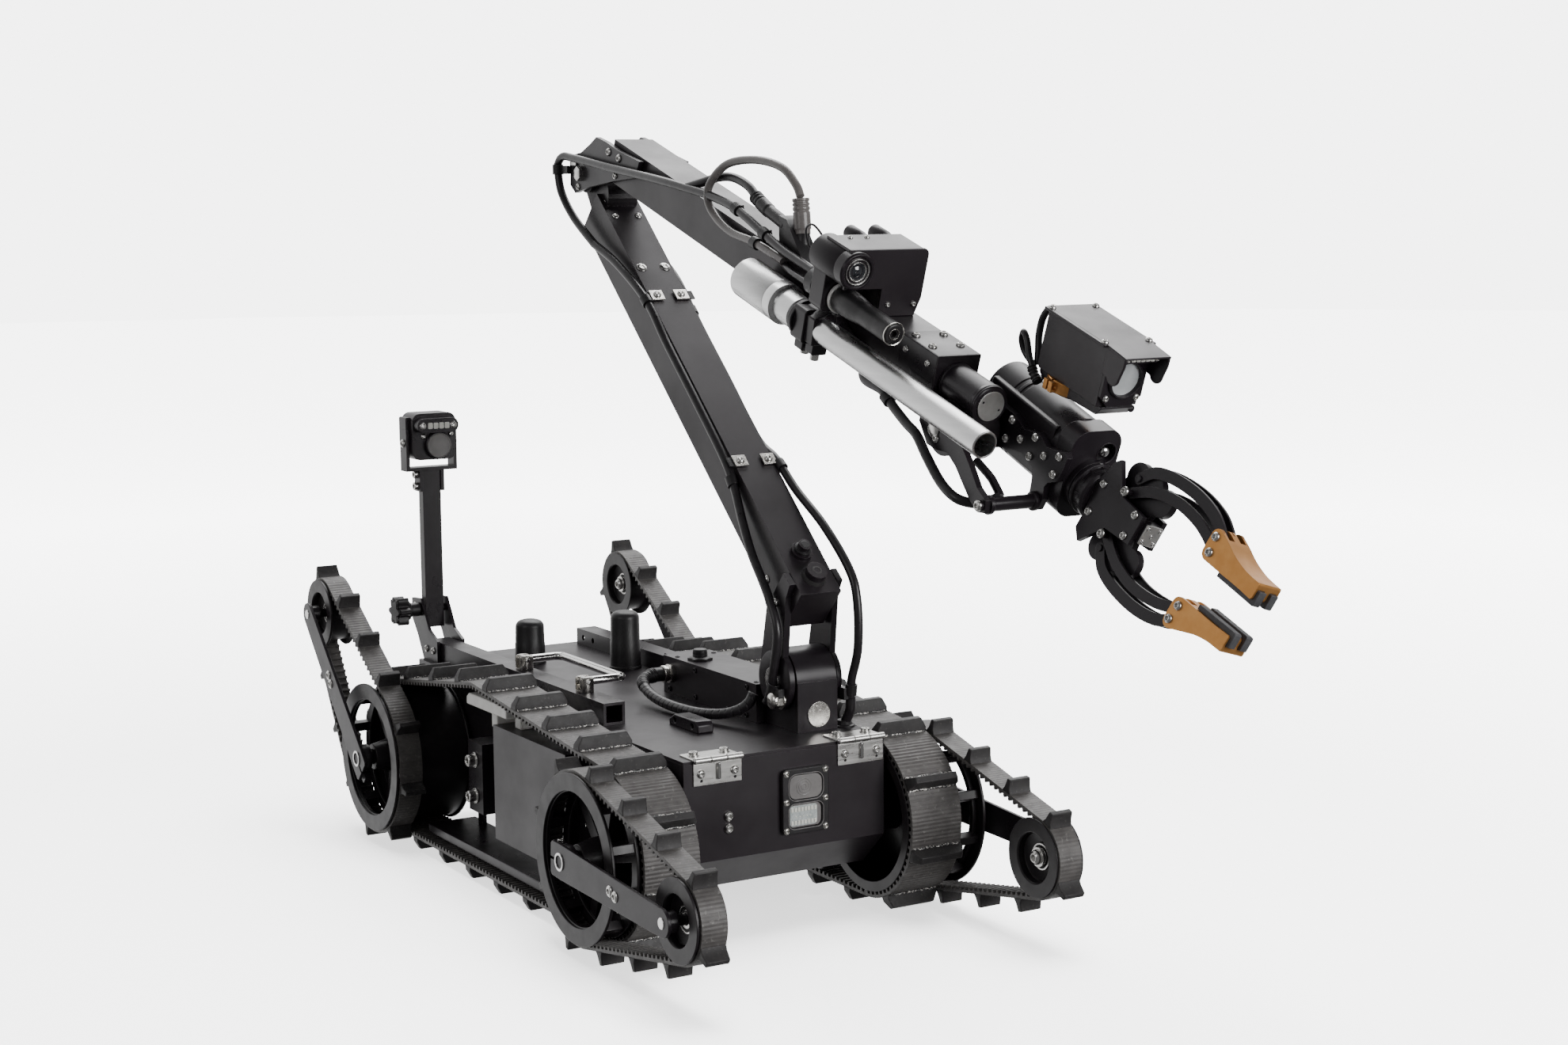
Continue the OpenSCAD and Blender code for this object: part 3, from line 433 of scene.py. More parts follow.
SLOT_LOOKS = {"black_anodised": ANODISED, "black_rubber": BELT_PAINTED_SHEEN, "cable_black": CABLE, "stainless": STEEL,
              "chrome": CHROME, "barrel_metal": TUBE, "gold_anodised": GOLD, "white_plastic": WHITE,
              "black_plastic": PLASTIC, "window": WINDOW, "battery_case": CASE, "circuit_board": PCB}
NODE_LOOKS = {"hull_tub": SHEET, "side_pods": SHEET, "lid_plate": SHEET, "upper_arm": SHEET, "forearm": SHEET,
              "shoulder_motor_box": SHEET, "hinge_lower_leaves": BRUSHED, "hinge_upper_leaves": BRUSHED}
for entry in frame["record"]["subparts"]:
    chosen = NODE_LOOKS.get(entry["node"], SLOT_LOOKS[entry["material_slot"]])
    mesh = nodes[entry["node"]].data
    mesh.materials.clear()
    mesh.materials.append(chosen[0])


# ---------- camera, floor and light ----------
SWEEP_GLOW = 5.5                                  # how bright the surround looks


def camera():
    """The view from the front right of the robot, a little above its deck."""
    data = bpy.data.cameras.new("camera")
    data.sensor_width = 36
    data.lens = 57.27
    data.clip_end = 50
    seat = Vector((2312.06, -1202.53, 713.65))
    back = Vector((0.85104, -0.5087, 0.13023)).normalized()
    right = Vector((0, 0, 1)).cross(back).normalized()
    right = Matrix.Rotation(math.radians(-0.5), 3, back) @ right
    up = back.cross(right)
    view = Matrix((right, up, back)).transposed().to_4x4()
    view.translation = seat * MM
    eye = bpy.data.objects.new("camera", data)
    eye.matrix_world = view
    bpy.context.scene.collection.objects.link(eye)
    bpy.context.scene.camera = eye


def backdrop(name, bm, colour, specular):
    """A glowing backdrop piece that the lamps' light passes by: its object, material and shader."""
    mesh = bpy.data.meshes.new(name)
    bm.to_mesh(mesh)
    bm.free()
    piece = bpy.data.objects.new(name, mesh)
    bpy.context.scene.collection.objects.link(piece)
    mat = bpy.data.materials.new("pale " + name)
    mat.use_nodes = True
    shader = mat.node_tree.nodes["Principled BSDF"]
    shader.inputs["Base Color"].default_value = (colour, colour, colour, 1)
    shader.inputs["Specular IOR Level"].default_value = specular
    shader.inputs["Emission Color"].default_value = (1, 1, 1, 1)
    shader.inputs["Emission Strength"].default_value = SWEEP_GLOW
    mesh.materials.append(mat)
    piece.visible_diffuse = False
    piece.visible_glossy = False
    return piece, mat, shader


def floor():
    """A pale floor that takes the robot's shadow near the robot and fades into the sweep far from it."""
    bm = bmesh.new()
    bmesh.ops.create_grid(bm, x_segments=2, y_segments=2, size=14)
    slab, mat, shader = backdrop("floor", bm, 0.93, 0.1)
    shader.inputs["Roughness"].default_value = 0.55
    make, link = mat.node_tree.nodes.new, mat.node_tree.links.new
    place, reach, glow = make("ShaderNodeTexCoord"), make("ShaderNodeVectorMath"), make("ShaderNodeMapRange")
    reach.operation = "LENGTH"
    for i, v in enumerate((0.9, 3.2, 1.5, SWEEP_GLOW)):
        glow.inputs[i + 1].default_value = v
    link(place.outputs["Object"], reach.inputs[0])
    link(reach.outputs["Value"], glow.inputs[0])
    link(glow.outputs[0], shader.inputs["Emission Strength"])
    return slab


def sweep():
    """A white surround that only the eye sees; the lamps and the world light the robot."""
    bm = bmesh.new()
    bmesh.ops.create_icosphere(bm, subdivisions=4, radius=13)
    backdrop("sweep", bm, 0, 0)[0].visible_shadow = False


def light(name, at, look_at, size, watts):
    """A rectangular soft lamp, in metres."""
    data = bpy.data.lights.new(name, "AREA")
    data.shape = "RECTANGLE"
    data.size, data.size_y = size
    data.energy = watts
    lamp = bpy.data.objects.new(name, data)
    lamp.location = at
    lamp.rotation_euler = (Vector(look_at) - Vector(at)).to_track_quat("-Z", "Y").to_euler()
    bpy.context.scene.collection.objects.link(lamp)
    return lamp


def studio():
    """A world that is bright behind the robot and dark in front of it, so that its blacks stay black."""
    world = bpy.data.worlds.new("studio")
    bpy.context.scene.world = world
    world.use_nodes = True
    tree = world.node_tree
    place = tree.nodes.new("ShaderNodeTexCoord")
    dot = tree.nodes.new("ShaderNodeVectorMath")
    dot.operation = "DOT_PRODUCT"
    dot.inputs[1].default_value = (-0.90, 0.20, 0.05)
    level = tree.nodes.new("ShaderNodeMapRange")
    level.interpolation_type = "SMOOTHSTEP"
    for i, v in enumerate((-0.02, 0.75, 0.16, 1.35)):
        level.inputs[i + 1].default_value = v
    back = tree.nodes["Background"]
    back.inputs[0].default_value = (1, 1, 1, 1)
    tree.links.new(place.outputs["Generated"], dot.inputs[0])
    tree.links.new(dot.outputs["Value"], level.inputs[0])
    tree.links.new(level.outputs[0], back.inputs[1])


camera()
ground = floor()
sweep()
studio()
light("overhead", (-1.4, 1.2, 2.8), (0.1, 0, 0.3), (2.6, 2.2), 80)
light("left key", (1.0, -3.2, 1.7), (0.1, 0, 0.3), (1.5, 1.6), 14)
light("front fill", (3.4, 1.0, 1.0), (0.1, 0, 0.25), (2.0, 1.6), 90)
wash = light("floor wash", (0.4, 0.6, 4.0), (0.2, 0, 0), (3.4, 3.4), 620)
only_floor = bpy.data.collections.new("floor only")
only_floor.objects.link(ground)
wash.light_linking.receiver_collection = only_floor


# ---------- arm: joints, screws, clips and cables ----------
NEAR_ROUTE = [(214, 29, 214), (219, 30, 221), (227, 30, 246), (235, 30, 287), (221, 30, 317), (206, 31, 335),
              (183, 32, 360), (160, 35, 390), (140, 38, 420), (120, 38, 448), (60, 38, 505), (0, 38, 560),
              (-44, 38, 603), (-107, 36, 641), (-155, 33, 662), (-199, 31, 690), (-225, 29, 717),
              (-232, 28, 740)]
FAR_ROUTE = [(254, 103, 218), (256, 103, 236), (268, 103, 270), (267, 103, 317), (254, 102, 347),
             (214, 98, 386), (165, 95, 418), (128, 94, 446), (90, 94, 464), (30, 94, 520), (-30, 94, 575),
             (-75, 94, 620), (-110, 95, 642), (-154, 98, 665)]
LOOP_ROUTE = [(-232, 28, 750), (-219, 28, 758), (-195, 29, 756), (-113, 30, 745), (-7, 32, 731),
              (50, 35, 722), (100, 38, 713), (151, 38, 700), (205, 38, 676), (242, 38, 660), (300, 38, 640),
              (340, 36, 625)]
PLUG_ROUTE = [(242, 37, 650), (189, 37, 667), (142, 37, 677), (110, 37, 692), (94, 37, 709), (97, 39, 727),
              (124, 44, 745), (171, 50, 748), (212, 54, 740), (234, 56, 724), (243, 56, 712)]
WRIST_ROUTE = [(325, 38, 606), (350, 38, 590), (370, 38, 572), (386, 34, 557), (400, 28, 546),
               (428, 28, 538), (447, 28, 524), (469, 27, 511), (485, 27, 502), (501, 27, 484),
               (520, 28, 464), (538, 29, 453), (548, 36, 448), (557, 48, 447), (566, 60, 453)]


def cable(name, points, r, look, body, bend=None, replaces=()):
    """A held cable. bend is (the body it leads to, start, end) where it crosses that joint, in metres, but
    only whether it is given is used: such a cable is put on no body and keeps its route in place.
    """
    lead = Part()
    lead.tube(points, r, 16, 8)
    piece = lead.make(name, look, None if bend else body, replaces=replaces)
    if bend:
        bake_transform(piece)


def collar(part, at, along, width):
    """A clip's band round a cable."""
    turn = Vector(along).normalized().to_track_quat("X", "Z").to_matrix()
    w = width / 2
    part.lathe([(-w, 4.5), (-w, 6.1), (w, 6.1), (w, 4.5)], Vector(at), turn, 28)


def cables():
    """Every cable of the arm, with its plugs and ties."""
    cable("near_cable", NEAR_ROUTE[:15], 4.5, CABLE, "lid",
          ("upper_arm", (.222, .03, .221), (.235, .03, .290)), ("upper_arm_cables",))
    cable("elbow_cable", NEAR_ROUTE[14:] + LOOP_ROUTE[:4], 4.5, CABLE, "upper_arm",
          ("forearm", (-.195, .03, .700), (-.160, .03, .755)))
    cable("far_cable", FAR_ROUTE, 4.5, CABLE, "lid", ("upper_arm", (.256, .103, .236), (.262, .103, .31)))
    cable("forearm_cable", LOOP_ROUTE[3:], 4.5, CABLE, "forearm", replaces=("forearm_cables",))
    cable("grey_loop", PLUG_ROUTE, 4.2, GREY_CABLE, "forearm")
    cable("wrist_cable", WRIST_ROUTE, 4.5, CABLE, "forearm",
          ("gripper", (.469, .027, .511), (.53, .027, .46)))
    cable("plug_cable", [(50, 36, 722), (74, 42, 727), (98, 49, 732), (124, 51, 731), (153, 51, 722),
                         (172, 50, 709)], 4.6, CABLE, "forearm")
    cable("forearm_lead", [(236, 40, 648), (262, 34, 640), (300, 30, 630), (338, 24, 618), (362, 20, 606)],
          3.2, CABLE, "forearm")
    cable("wire_loop", [(300, 40, 652), (296, 32, 668), (302, 26, 682), (314, 26, 686), (324, 30, 676),
                        (332, 34, 660), (344, 36, 650)], 1.1, CABLE, "forearm")
    cable("far_cable_foot", [(254, 103, 218), (252, 104, 206), (246, 103, 194), (243, 102, 186)], 5.2, CABLE,
          "lid")
    ties = Part()
    for at, along in (((151, 38, 700), (53, 0, -22)), ((205, 38, 676), (46, 0, -20)),
                      ((189, 37, 667), (47, 0, -12)), ((437, 28, 531), (20, 0, -14)),
                      ((300, 38, 640), (49, 0, -17))):
        collar(ties, at, along, 10)
    for x, z in ((151, 700), (205, 676), (300, 640)):
        ties.box((x - 4, 39, z - 4), (x + 4, 44, z + 4))
    ties.make("forearm_ties", PLASTIC, "forearm", bevel=0.3)
    plugs = Part()

    def ribs(d):
        """Three grooves at a plug's cable end, and a thinner front."""
        return 1.0 - 0.10 * (d < 13 and d % 4.2 > 2.6) - (0.10 if d > 30 else 0)

    plugs.tube([(243.2, 56, 710), (245, 56, 694), (247, 56, 676)], 8.4, 28, 24, ridge=ribs)
    plugs.make("grey_plug", GREY_CABLE, "forearm", sharp=50)
    black = Part()
    black.tube([(168, 50, 712), (190, 50, 700), (214, 50, 690), (228, 50, 684)], 7.2, 24, 20, ridge=ribs)
    black.rod((247, 56, 0), 7.0, 653, 677, "Z", 32)
    black.prism([(222, 640), (262, 632), (262, 655), (236, 690), (222, 694)], 44, 64)
    black.make("black_plug", PLASTIC, "forearm", sharp=50)
    boot = Part()
    boot.lathe([(186.9, 0), (186.9, 11), (188.6, 11), (189.4, 9), (193.4, 6.8), (193.4, 0)], (243, 102, 0),
               "Z", 36)
    boot.make("far_cable_boot", PLASTIC, "lid")


def clips():
    """The cable clips and their screws on the upper arm, and the nuts at the shoulder."""
    bands, metal, screws = Part(), Part(), Part()
    metal.local = bands.local = screws.local = UPPER
    for u, w in ((415.7, 14.5), (175.5, 16.5)):
        for s in (-1, 1):
            metal.prism([(u - 7, -1.4), (u + 7, -1.4), (u + 7, -3.0), (u - 7, -3.0)],
                        *span(s, w - 7.5, w + 8))
            screws.head((u, s * w, -3.0), (0, 0, -1), 4.3, 2.6)
            side_box(bands, s, (u - 6, w - 2, -1.5), (u + 6, 30, 0.0))
    metal.local = bands.local = screws.local = WORLD
    for at, along in (((-44, 38, 603), (-60, 0, 45)), ((135, 38, 427), (-20, 0, 28)),
                      ((-46, 94, 590), (-55, 0, 50)), ((137, 94, 440), (-38, 0, 26)),
                      ((-232, 28, 744), (0, 0, 1)), ((227, 30, 230), (8, 0, 25)),
                      ((255, 103, 226), (3, 0, 20)), ((-150, 98, 663), (-44, 3, 23))):
        collar(bands, at, along, 11)
    bands.box((-232, 28.5, 739), (-210, 34.5, 748))
    bands.box((227, 28, 222), (240, 37, 231))
    bands.box((244, 94, 216), (256, 101, 228))
    bands.box((-150, 89, 656), (-138, 97, 668))
    bands.make("cable_clips", PLASTIC, "upper_arm", bevel=0.3)
    metal.head((232, 26, 219), (0, -1, 0), 8.2, 4.4, "plain")
    for y in (26, 97):
        metal.lathe([(y, 0), (y, 8.4, True), (y + 8.5, 8.4, True), (y + 8.5, 0)], (232, 0, 219), "Y", 48)
    metal.rod((232, 0, 219), 9.6, 34, 36, "Y", 32, 0.3)
    metal.make("zinc_nuts", NICKEL, "upper_arm", bevel=0.4)
    screws.make("clip_screws", STEEL, "upper_arm")


def arm_screws():
    """Screws and joint discs of the arm, its bumper and its port cap."""
    upper = Part(UPPER)
    for x, r in ((566, 4.2), (541.6, 3.9), (460.6, 5.9)):
        for s in (-1, 1):
            upper.head((x, 14.2 * s, -0.1), (0, 0, -1), r, 2.0 if r < 5 else 1.6)
    for x in (40, 120):
        for s in (-1, 1):
            upper.head((x, 14.2 * s, 50.1), (0, 0, 1), 4, 2)
    upper.local = WORLD
    for x, z in ((206.8, 336.2), (221.7, 315.2)):
        upper.head((x, 36, z), (0, -1, 0), 4.6, 3)
        upper.head((x, 97, z), (0, 1, 0), 4.6, 3)
    upper.make("upper_arm_screws", STEEL, "upper_arm")
    elbow = Part()
    for x, z, r in ((-122, 761.2, 4.6), (-98.4, 753.9, 4.6), (-107.7, 735.6, 3.8), (-197.5, 724.7, 3.8)):
        elbow.head((x, 36, z), (0, -1, 0), r, 2.4)
        elbow.head((x, 96, z), (0, 1, 0), r, 2.4)
    elbow.lathe([(29.6, 0), (29.6, 7.0, True), (30.2, 8.2, True), (36, 8.2, True), (36, 0)],
                ELBOW, "Y", 48)
    elbow.rod(ELBOW, 8.0, 96, 100, "Y", 36, 0.6)
    elbow.prism([(-213, 748), (-199, 748), (-199, 760), (-213, 760)], 33.6, 35.4)
    elbow.make("elbow_screws", STEEL, "forearm")
    rims = Part()
    for y0, y1 in ((35.2, 43.6), (90.2, 97.8)):
        rims.lathe([(y0, 12), (y0, 27), (y0 + 1.2, 30.4), (y1 - 1.2, 30.4), (y1, 27), (y1, 12)],
                   SHOULDER, "Y", 64)
    rims.rod(SHOULDER, 13.5, 33.8, 99.2, "Y", 48, 1.4)
    rims.make("shoulder_discs", ANODISED, "upper_arm", bevel=0.3)
    shine = Part()
    for y0, y1 in ((33.0, 34.0), (99.0, 100.0)):
        shine.lathe([(y0, 6.5), (y0, 12.4), (y1, 12.4), (y1, 6.5)], SHOULDER, "Y", 48)
    shine.make("shoulder_rings", STEEL, "upper_arm")
    stop = Part(UPPER)
    rubber = [(-11.2, 0), (-11.2, 3.6), (-10.8, 6.2), (-9.4, 7.4), (0, 12.2), (0.6, 12.2), (0.6, 0)]
    stop.lathe([(-11.2, 0)] + [(t, r * 1.04) for t, r in rubber[1:-1]] + [(0.6, 0)], (20, 0, 0), "Z", 48)
    hole = Part(UPPER)
    hole.lathe([(-14, 0), (-14, 3.6, True), (-5, 3.6, True), (-5, 0)], (20, 0, 0), "Z", 48)
    stop.make("arm_bumper", LUG, "upper_arm", bevel=0.5, cuts=hole)
    port = Part(UPPER)
    port.lathe([(-13.2, 0), (-13.2, 4.6), (-12.4, 5.6), (-9.6, 5.6), (-9.2, 6.6), (-7.4, 6.6), (-7.0, 8.6),
                (-5.6, 8.6), (-5.2, 7.4), (-4.0, 7.4), (-3.8, 10.6, True), (-0.2, 10.6, True), (0.4, 9),
                (0.4, 0)], (52, 0, 0), "Z", 48)
    port.make("arm_port_cap", PLASTIC, "upper_arm", bevel=0.3)


def end_block():
    """The block at the forearm's end, with the wrist's motor."""
    block = Part(FORE)
    block.prism(rounded(589, -48.2, 650, 2.2, 1.5, 3), -23.2, 23.2)
    block.prism([(610, -24), (650, -24), (650, -47), (622, -47)], -23.3, 23.3)
    block.make("forearm_end_block", ANODISED, "forearm", bevel=1.2)
    screws = Part(FORE)
    for x in (600, 628):
        for y in (-15, 15):
            screws.head((x, y, 2.2), (0, 0, 1), 4.2, 2.6)
    for x in (600, 636):
        screws.head((x, -23.2, -10), (0, -1, 0), 3.4, 2)
    screws.make("forearm_end_screws", STEEL, "forearm")
    motor = Part(FORE)
    motor.lathe([(650, 0), (650, 18), (652, 18.6), (653.5, 18.6), (654.5, 17.9), (700, 17.9), (701, 18.5),
                 (704, 18.5), (706, 16.8), (706.6, 15), (706.6, 0)], (0, 0, -23), "X", 64)
    motor.make("wrist_motor_can", ANODISED, "forearm", bevel=0.3)
    disc, eyes = Part(FORE), Part(FORE)
    disc.rod((0, 0, -23), 14, 706, 708.4, "X", 48, 0.5)
    for y, z in ((-9, -19), (9, -27)):
        eyes.rod((0, y, z), 1.2, 707.4, 710, "X", 16, SHARP)
    disc.make("wrist_motor_disc", SATIN, "forearm", cuts=eyes)


cables()
clips()
arm_screws()
end_block()


# ---------- hull, deck and mast ----------
HINGES = ((-102, -50), (58, 110))                 # where each hinge begins and ends in Y
MAST_X, MAST_PIVOT, TILT_Z = -345, 243, 436       # the mast's X and the heights of its two pivots
HANDLE_POSTS = (48, -97)                          # X of the posts
HANDLE_Z = 221                                    # height of the bar's hinge
BASE_ROUTE = [(8, 20, 210), (8, 6, 209), (18, -6, 206), (42, -12, 200), (75, -14, 196), (110, -12, 194.5),
              (145, -6, 195), (172, 4, 198), (188, 13, 204), (196, 20, 212), (198, 24, 221)]


def guides():
    """The white slides under the belts' upper runs and the black rails along their lower ones."""
    slides, rails = Part(), Part()
    for s in (-1, 1):
        slides.prism([(-64, 188), (35, 188), (35, 196), (30, 200.3), (-58, 200.3), (-64, 196)],
                     *span(s, 118, 172))
        side_box(slides, s, (-50, 112.2, 163), (-36, 150, 189))
        side_box(slides, s, (8, 112.2, 172.2), (22, 150, 189))
        rails.prism([(-185, 26), (-176, 23), (176, 23), (185, 26), (185, 33), (-185, 33)],
                    *span(s, 112.2, 168))
        for x in (-165, 160):
            side_box(rails, s, (x, 112.2, 32), (x + 12, 118, 84))
    slides.make("guide_slides", WHITE, "hull", bevel=1.2, replaces=("track_guides",))
    rails.make("guide_rails", ANODISED, "hull", bevel=1.0)


def front_panel():
    """The panel with a camera window over a lamp window."""
    bezel, pockets = Part(), Part()
    bezel.prism(rounded(-7, 103, 45, 167, 6, 8), HULL_FRONT, HULL_FRONT + 5.6, "X")
    for z0, z1, r in ((136.5, 160.5, 8), (108.5, 131.5, 6)):
        pockets.prism(rounded(0.5, z0, 37.5, z1, r, 8), 302, 307, "X")
    bezel.make("panel_bezel", PLASTIC, "hull", bevel=0.8, replaces=("front_panel",), cuts=pockets, segments=3)
    panes = Part()
    panes.prism(rounded(0.8, 136.8, 37.2, 160.2, 7.7, 8), 301.9, 305.0, "X")
    panes.prism(rounded(0.8, 108.8, 37.2, 131.2, 5.7, 8), 301.9, 303.4, "X")
    for z0, z1, r in ((135.0, 162.0, 9), (107.2, 132.8, 7)):
        panes.plate(rounded(-1.0, z0, 39, z1, r, 8), rounded(-0.3, z0 + 0.7, 38.3, z1 - 0.7, r - 0.7, 8),
                    305.4, 305.9, "X")
    for r in (2.2, 5.0, 7.6):
        panes.lathe([(304.9, r), (305.3, r + 0.2), (305.3, r + 0.9), (304.9, r + 1.1)], (0, 17, 148.5))
    panes.make("panel_windows_grey", WINDOW, "hull", bevel=0.25, replaces=("panel_windows",))
    board = Part()
    board.prism(rounded(1.6, 110.2, 32.4, 130.2, 3.2, 6), 303.3, 304.0, "X")
    board.make("panel_lamp_board", BOARD, "hull", bevel=0.2)
    chips = Part()
    for row in (113.6, 126.4):
        for k in range(8):
            y = 4.2 + 3.7 * k
            chips.box((303.9, y - 1.35, row - 2.1), (304.7, y + 1.35, row + 2.1))
    for k in range(5):
        chips.box((303.9, 8 + 4 * k, 118.6), (304.4, 9.6 + 4 * k, 119.8))
    chips.make("panel_lamps", LAMP, "hull", bevel=0.25)
    screws = Part()
    for y in (-3, 41):
        for z in (107, 135, 163):
            screws.head((305.5, y, z), (1, 0, 0), 3.5, 1.8)
    screws.make("panel_screws", NICKEL, "hull")


def hinges():
    """Two piano hinges between hull and lid."""
    lower, holes, upper, pins, screws, tops = Part(), Part(), Part(), Part(), Part(), Part()
    for y0, y1 in HINGES:
        w = (y1 - y0) / 3
        lower.box((HULL_FRONT, y0, 163), (HULL_FRONT + 1.5, y1, 183.6))
        for a in (y0, y1 - w + 0.3):
            lower.box((300.05, a, 183), (301.45, a + w - 0.3, 187.6))
            lower.rod((303.2, 0, 187.6), 3.2, a, a + w - 0.3, "Y", 32, 0.35)
        upper.prism([(272, y0 + 2), (274, y0), (299.6, y0), (299.6, y1), (274, y1), (272, y1 - 2)], DECK,
                    188.5, "Z")
        upper.box((299, y0 + w + 0.3, DECK + 0.05), (303.2, y1 - w - 0.3, 188.45))
        upper.rod((303.2, 0, 187.6), 3.2, y0 + w + 0.3, y1 - w - 0.3, "Y", 32, 0.35)
        for k in (0.15, 0.85):
            y = y0 + k * (y1 - y0)
            holes.rod((0, y + 0.6, 167.2), 1.5, 299, 303, "X", 20, SHARP)
            screws.head((301.5, y, 174.2), (1, 0, 0), 4.3, 2.4)
        for k in (0.18, 0.82):
            at = (284, y0 + k * (y1 - y0), 188.5)
            tops.lathe([(0, 0), (0, 5.7), (0.9, 5.7), (0.9, 0)], at, "Z", 32)
            tops.head((at[0], at[1], 189.3), (0, 0, 1), 4.5, 3.2, "cap")
        middle = (y0 + y1) / 2
        pins.rod((302.6, middle + 0.5, 0), 2.2, 167.6, 183.4, "Z", 28, 0.8)
        pins.rod((303.2, 0, 187.6), 1.9, y0 - 0.7, y1 + 0.7, "Y", 24, 0.4)
    lower.make("hinge_lower", BRUSHED, "hull", bevel=0.25, replaces=("hinge_lower_leaves",), cuts=holes)
    upper.make("hinge_upper", BRUSHED, "lid", bevel=0.25, replaces=("hinge_upper_leaves",))
    pins.make("hinge_pins", CHROME, "hull")
    screws.make("hinge_screws", STEEL, "hull")
    tops.make("hinge_top_screws", STEEL, "lid")


def hull_screws():
    """Two screws beside the front panel and the tensioners' bolts."""
    screws = Part()
    for z in (129.5, 117.6):
        screws.head((HULL_FRONT, -64, z), (1, 0, 0), 5.2, 3.4)
    for s in (-1, 1):
        for z in (80, 119):
            screws.rod((-95, 0, z), 4.4, *span(s, 130, 151), "Y", 24)
            screws.rod((-95, 0, z), 8.6, *span(s, 150, 152), "Y", 36, 0.3)
            screws.head((-95, 152 * s, z), (0, s, 0), 6.4, 8, "cap")
    screws.make("hull_screws", STEEL, "hull", replaces=("hull_fasteners",))


def deck():
    """The small fittings on the lid and its motor box."""
    steel, slots = Part(), Part()
    steel.lathe([(22, 6.4), (22, 8.4), (23, 9.2), (25.5, 9.2), (26.3, 8.2), (28.5, 8.2), (29.2, 10),
                 (33.9, 10), (33.9, 6.4)], (8, 0, 210), "Y", 40)
    steel.rod((0, 68, 204), 13, 250, 251.4, "X", 48, 0.4)
    for y, z in ((65, 214), (71.5, 193.8)):
        slots.rod((0, y, z), 1.25, 250.4, 252, "X", 16, SHARP)
    for x in HANDLE_POSTS:
        steel.lathe([(210, 0), (210, 9.2), (210.6, 9.5), (224.6, 9.5), (226, 8.2), (226, 0)], (x, RAIL_Y, 0),
                    "Z", 40)
        slots.box((x - 5, RAIL_Y - 12, 213), (x + 5, RAIL_Y + 12, 231))
    steel.make("deck_steel", NICKEL, "lid", bevel=0.3, replaces=("lid_fittings",), cuts=slots)
    cap = Part()
    cap.lathe([(227, 0), (227, 13.4, True), (229.4, 13.4, True), (229.6, 12), (230.6, 10.6), (231.2, 9.0)]
              + [(231.4 + 0.5 * k, 8.2 if k % 2 else 7.7) for k in range(5)]
              + [(234, 7.9), (238, 7.4), (238.8, 6.6), (238.8, 0)], (38, 52, 0), "Z", 48)
    cap.make("deck_cap", PLASTIC, "lid", bevel=0.2)
    block, bores = Part(), Part()
    block.prism([(138, DECK), (198, DECK), (198, 195), (194, 199), (150, 199), (138, 192)], -40, -22)
    for x in (186, 150):
        bores.rod((x, 0, 193), 2.6, -43, -19, "Y", 24, SHARP)
    block.make("deck_block", ANODISED, "lid", bevel=1.2, cuts=bores)
    dots = Part()
    for x, z in ((167.7, 221.2), (166.2, 192.5), (128.5, 192.0), (60, 221), (60, 192.5), (4, 192.5)):
        dots.head((x, 34, z), (0, -1, 0), 3.0, 1.6, "cap")
    for x, y in ((10, 40), (10, 84), (176, 40), (176, 84)):
        dots.head((x, y, 227), (0, 0, 1), 2.8, 1.2)
    dots.make("motor_box_screws", ANODISED, "lid")


def wiring():
    """The wrapped cable from the motor box to the shoulder, with its plug."""
    wrap = Part()
    wrap.tube(BASE_ROUTE[1:], 5.5, 20, 44, ridge=lambda d: 0.9 if d % 8.5 < 0.9 else 1.0, twist=8.5)
    wrap.make("base_cable_wrap", CABLE, "lid", replaces=("base_cable",), sharp=60)
    plug = Part()
    plug.tube([(8, 21.5, 210), (8, 13, 210), (9, 6.5, 209.4)], 7.6, 24, 8,
              ridge=lambda d: 1.0 if d < 9 else 1.08 - 0.08 * ((d - 9) % 2.2 > 1.1))
    plug.tube([(9, 7.5, 209.5), (12, 0, 208), (18, -6, 206), (28, -9.5, 203)], 6.6, 24, 14,
              ridge=lambda d: 1.1 - 0.006 * d - 0.07 * (d % 3.4 > 2.2))
    plug.make("base_cable_plug", PLASTIC, "lid", sharp=50)


def handle():
    """The bail handle with its two hinge barrels."""
    bar = Part()
    near, far = HANDLE_POSTS
    corners = arc(near - 10, RAIL_Y + 33, 10, 0, 90, 8) + arc(far + 10, RAIL_Y + 33, 10, 90, 180, 8)
    bar.tube([(x, y, HANDLE_Z) for x, y in [(near, RAIL_Y)] + corners + [(far, RAIL_Y)]], 4.4, 20, 2)
    for x in HANDLE_POSTS:
        bar.rod((0, RAIL_Y, HANDLE_Z), 4.7, x - 4.3, x + 4.3, "X", 32, 0.6)
        bar.rod((0, RAIL_Y, HANDLE_Z), 2.5, x - 9.9, x + 9.9, "X", 24, 0.8)
    bar.make("handle_bar", CHROME, "handle", replaces=("carry_handle",))


def aerials():
    """Two round-topped aerials."""
    pair = Part()
    for x, y, h in ((-241, -15, 51), (-154, 62, 66)):
        brim = DECK + h - 9
        crown = [(brim + 8.6 * math.sin(math.radians(a)), 16.2 * math.cos(math.radians(a)) ** 0.6)
                 for a in range(10, 90, 10)]
        pair.lathe([(DECK, 0), (DECK, 18), (DECK + 2.6, 18), (DECK + 3.4, 17.2), (DECK + h * 0.45, 17.0),
                    (DECK + h * 0.47, 16.6), (brim, 16.2)] + crown + [(DECK + h, 0)], (x, y, 0), "Z", 56)
    pair.make("aerial_domes", PLASTIC, "lid", replaces=("antennas",))


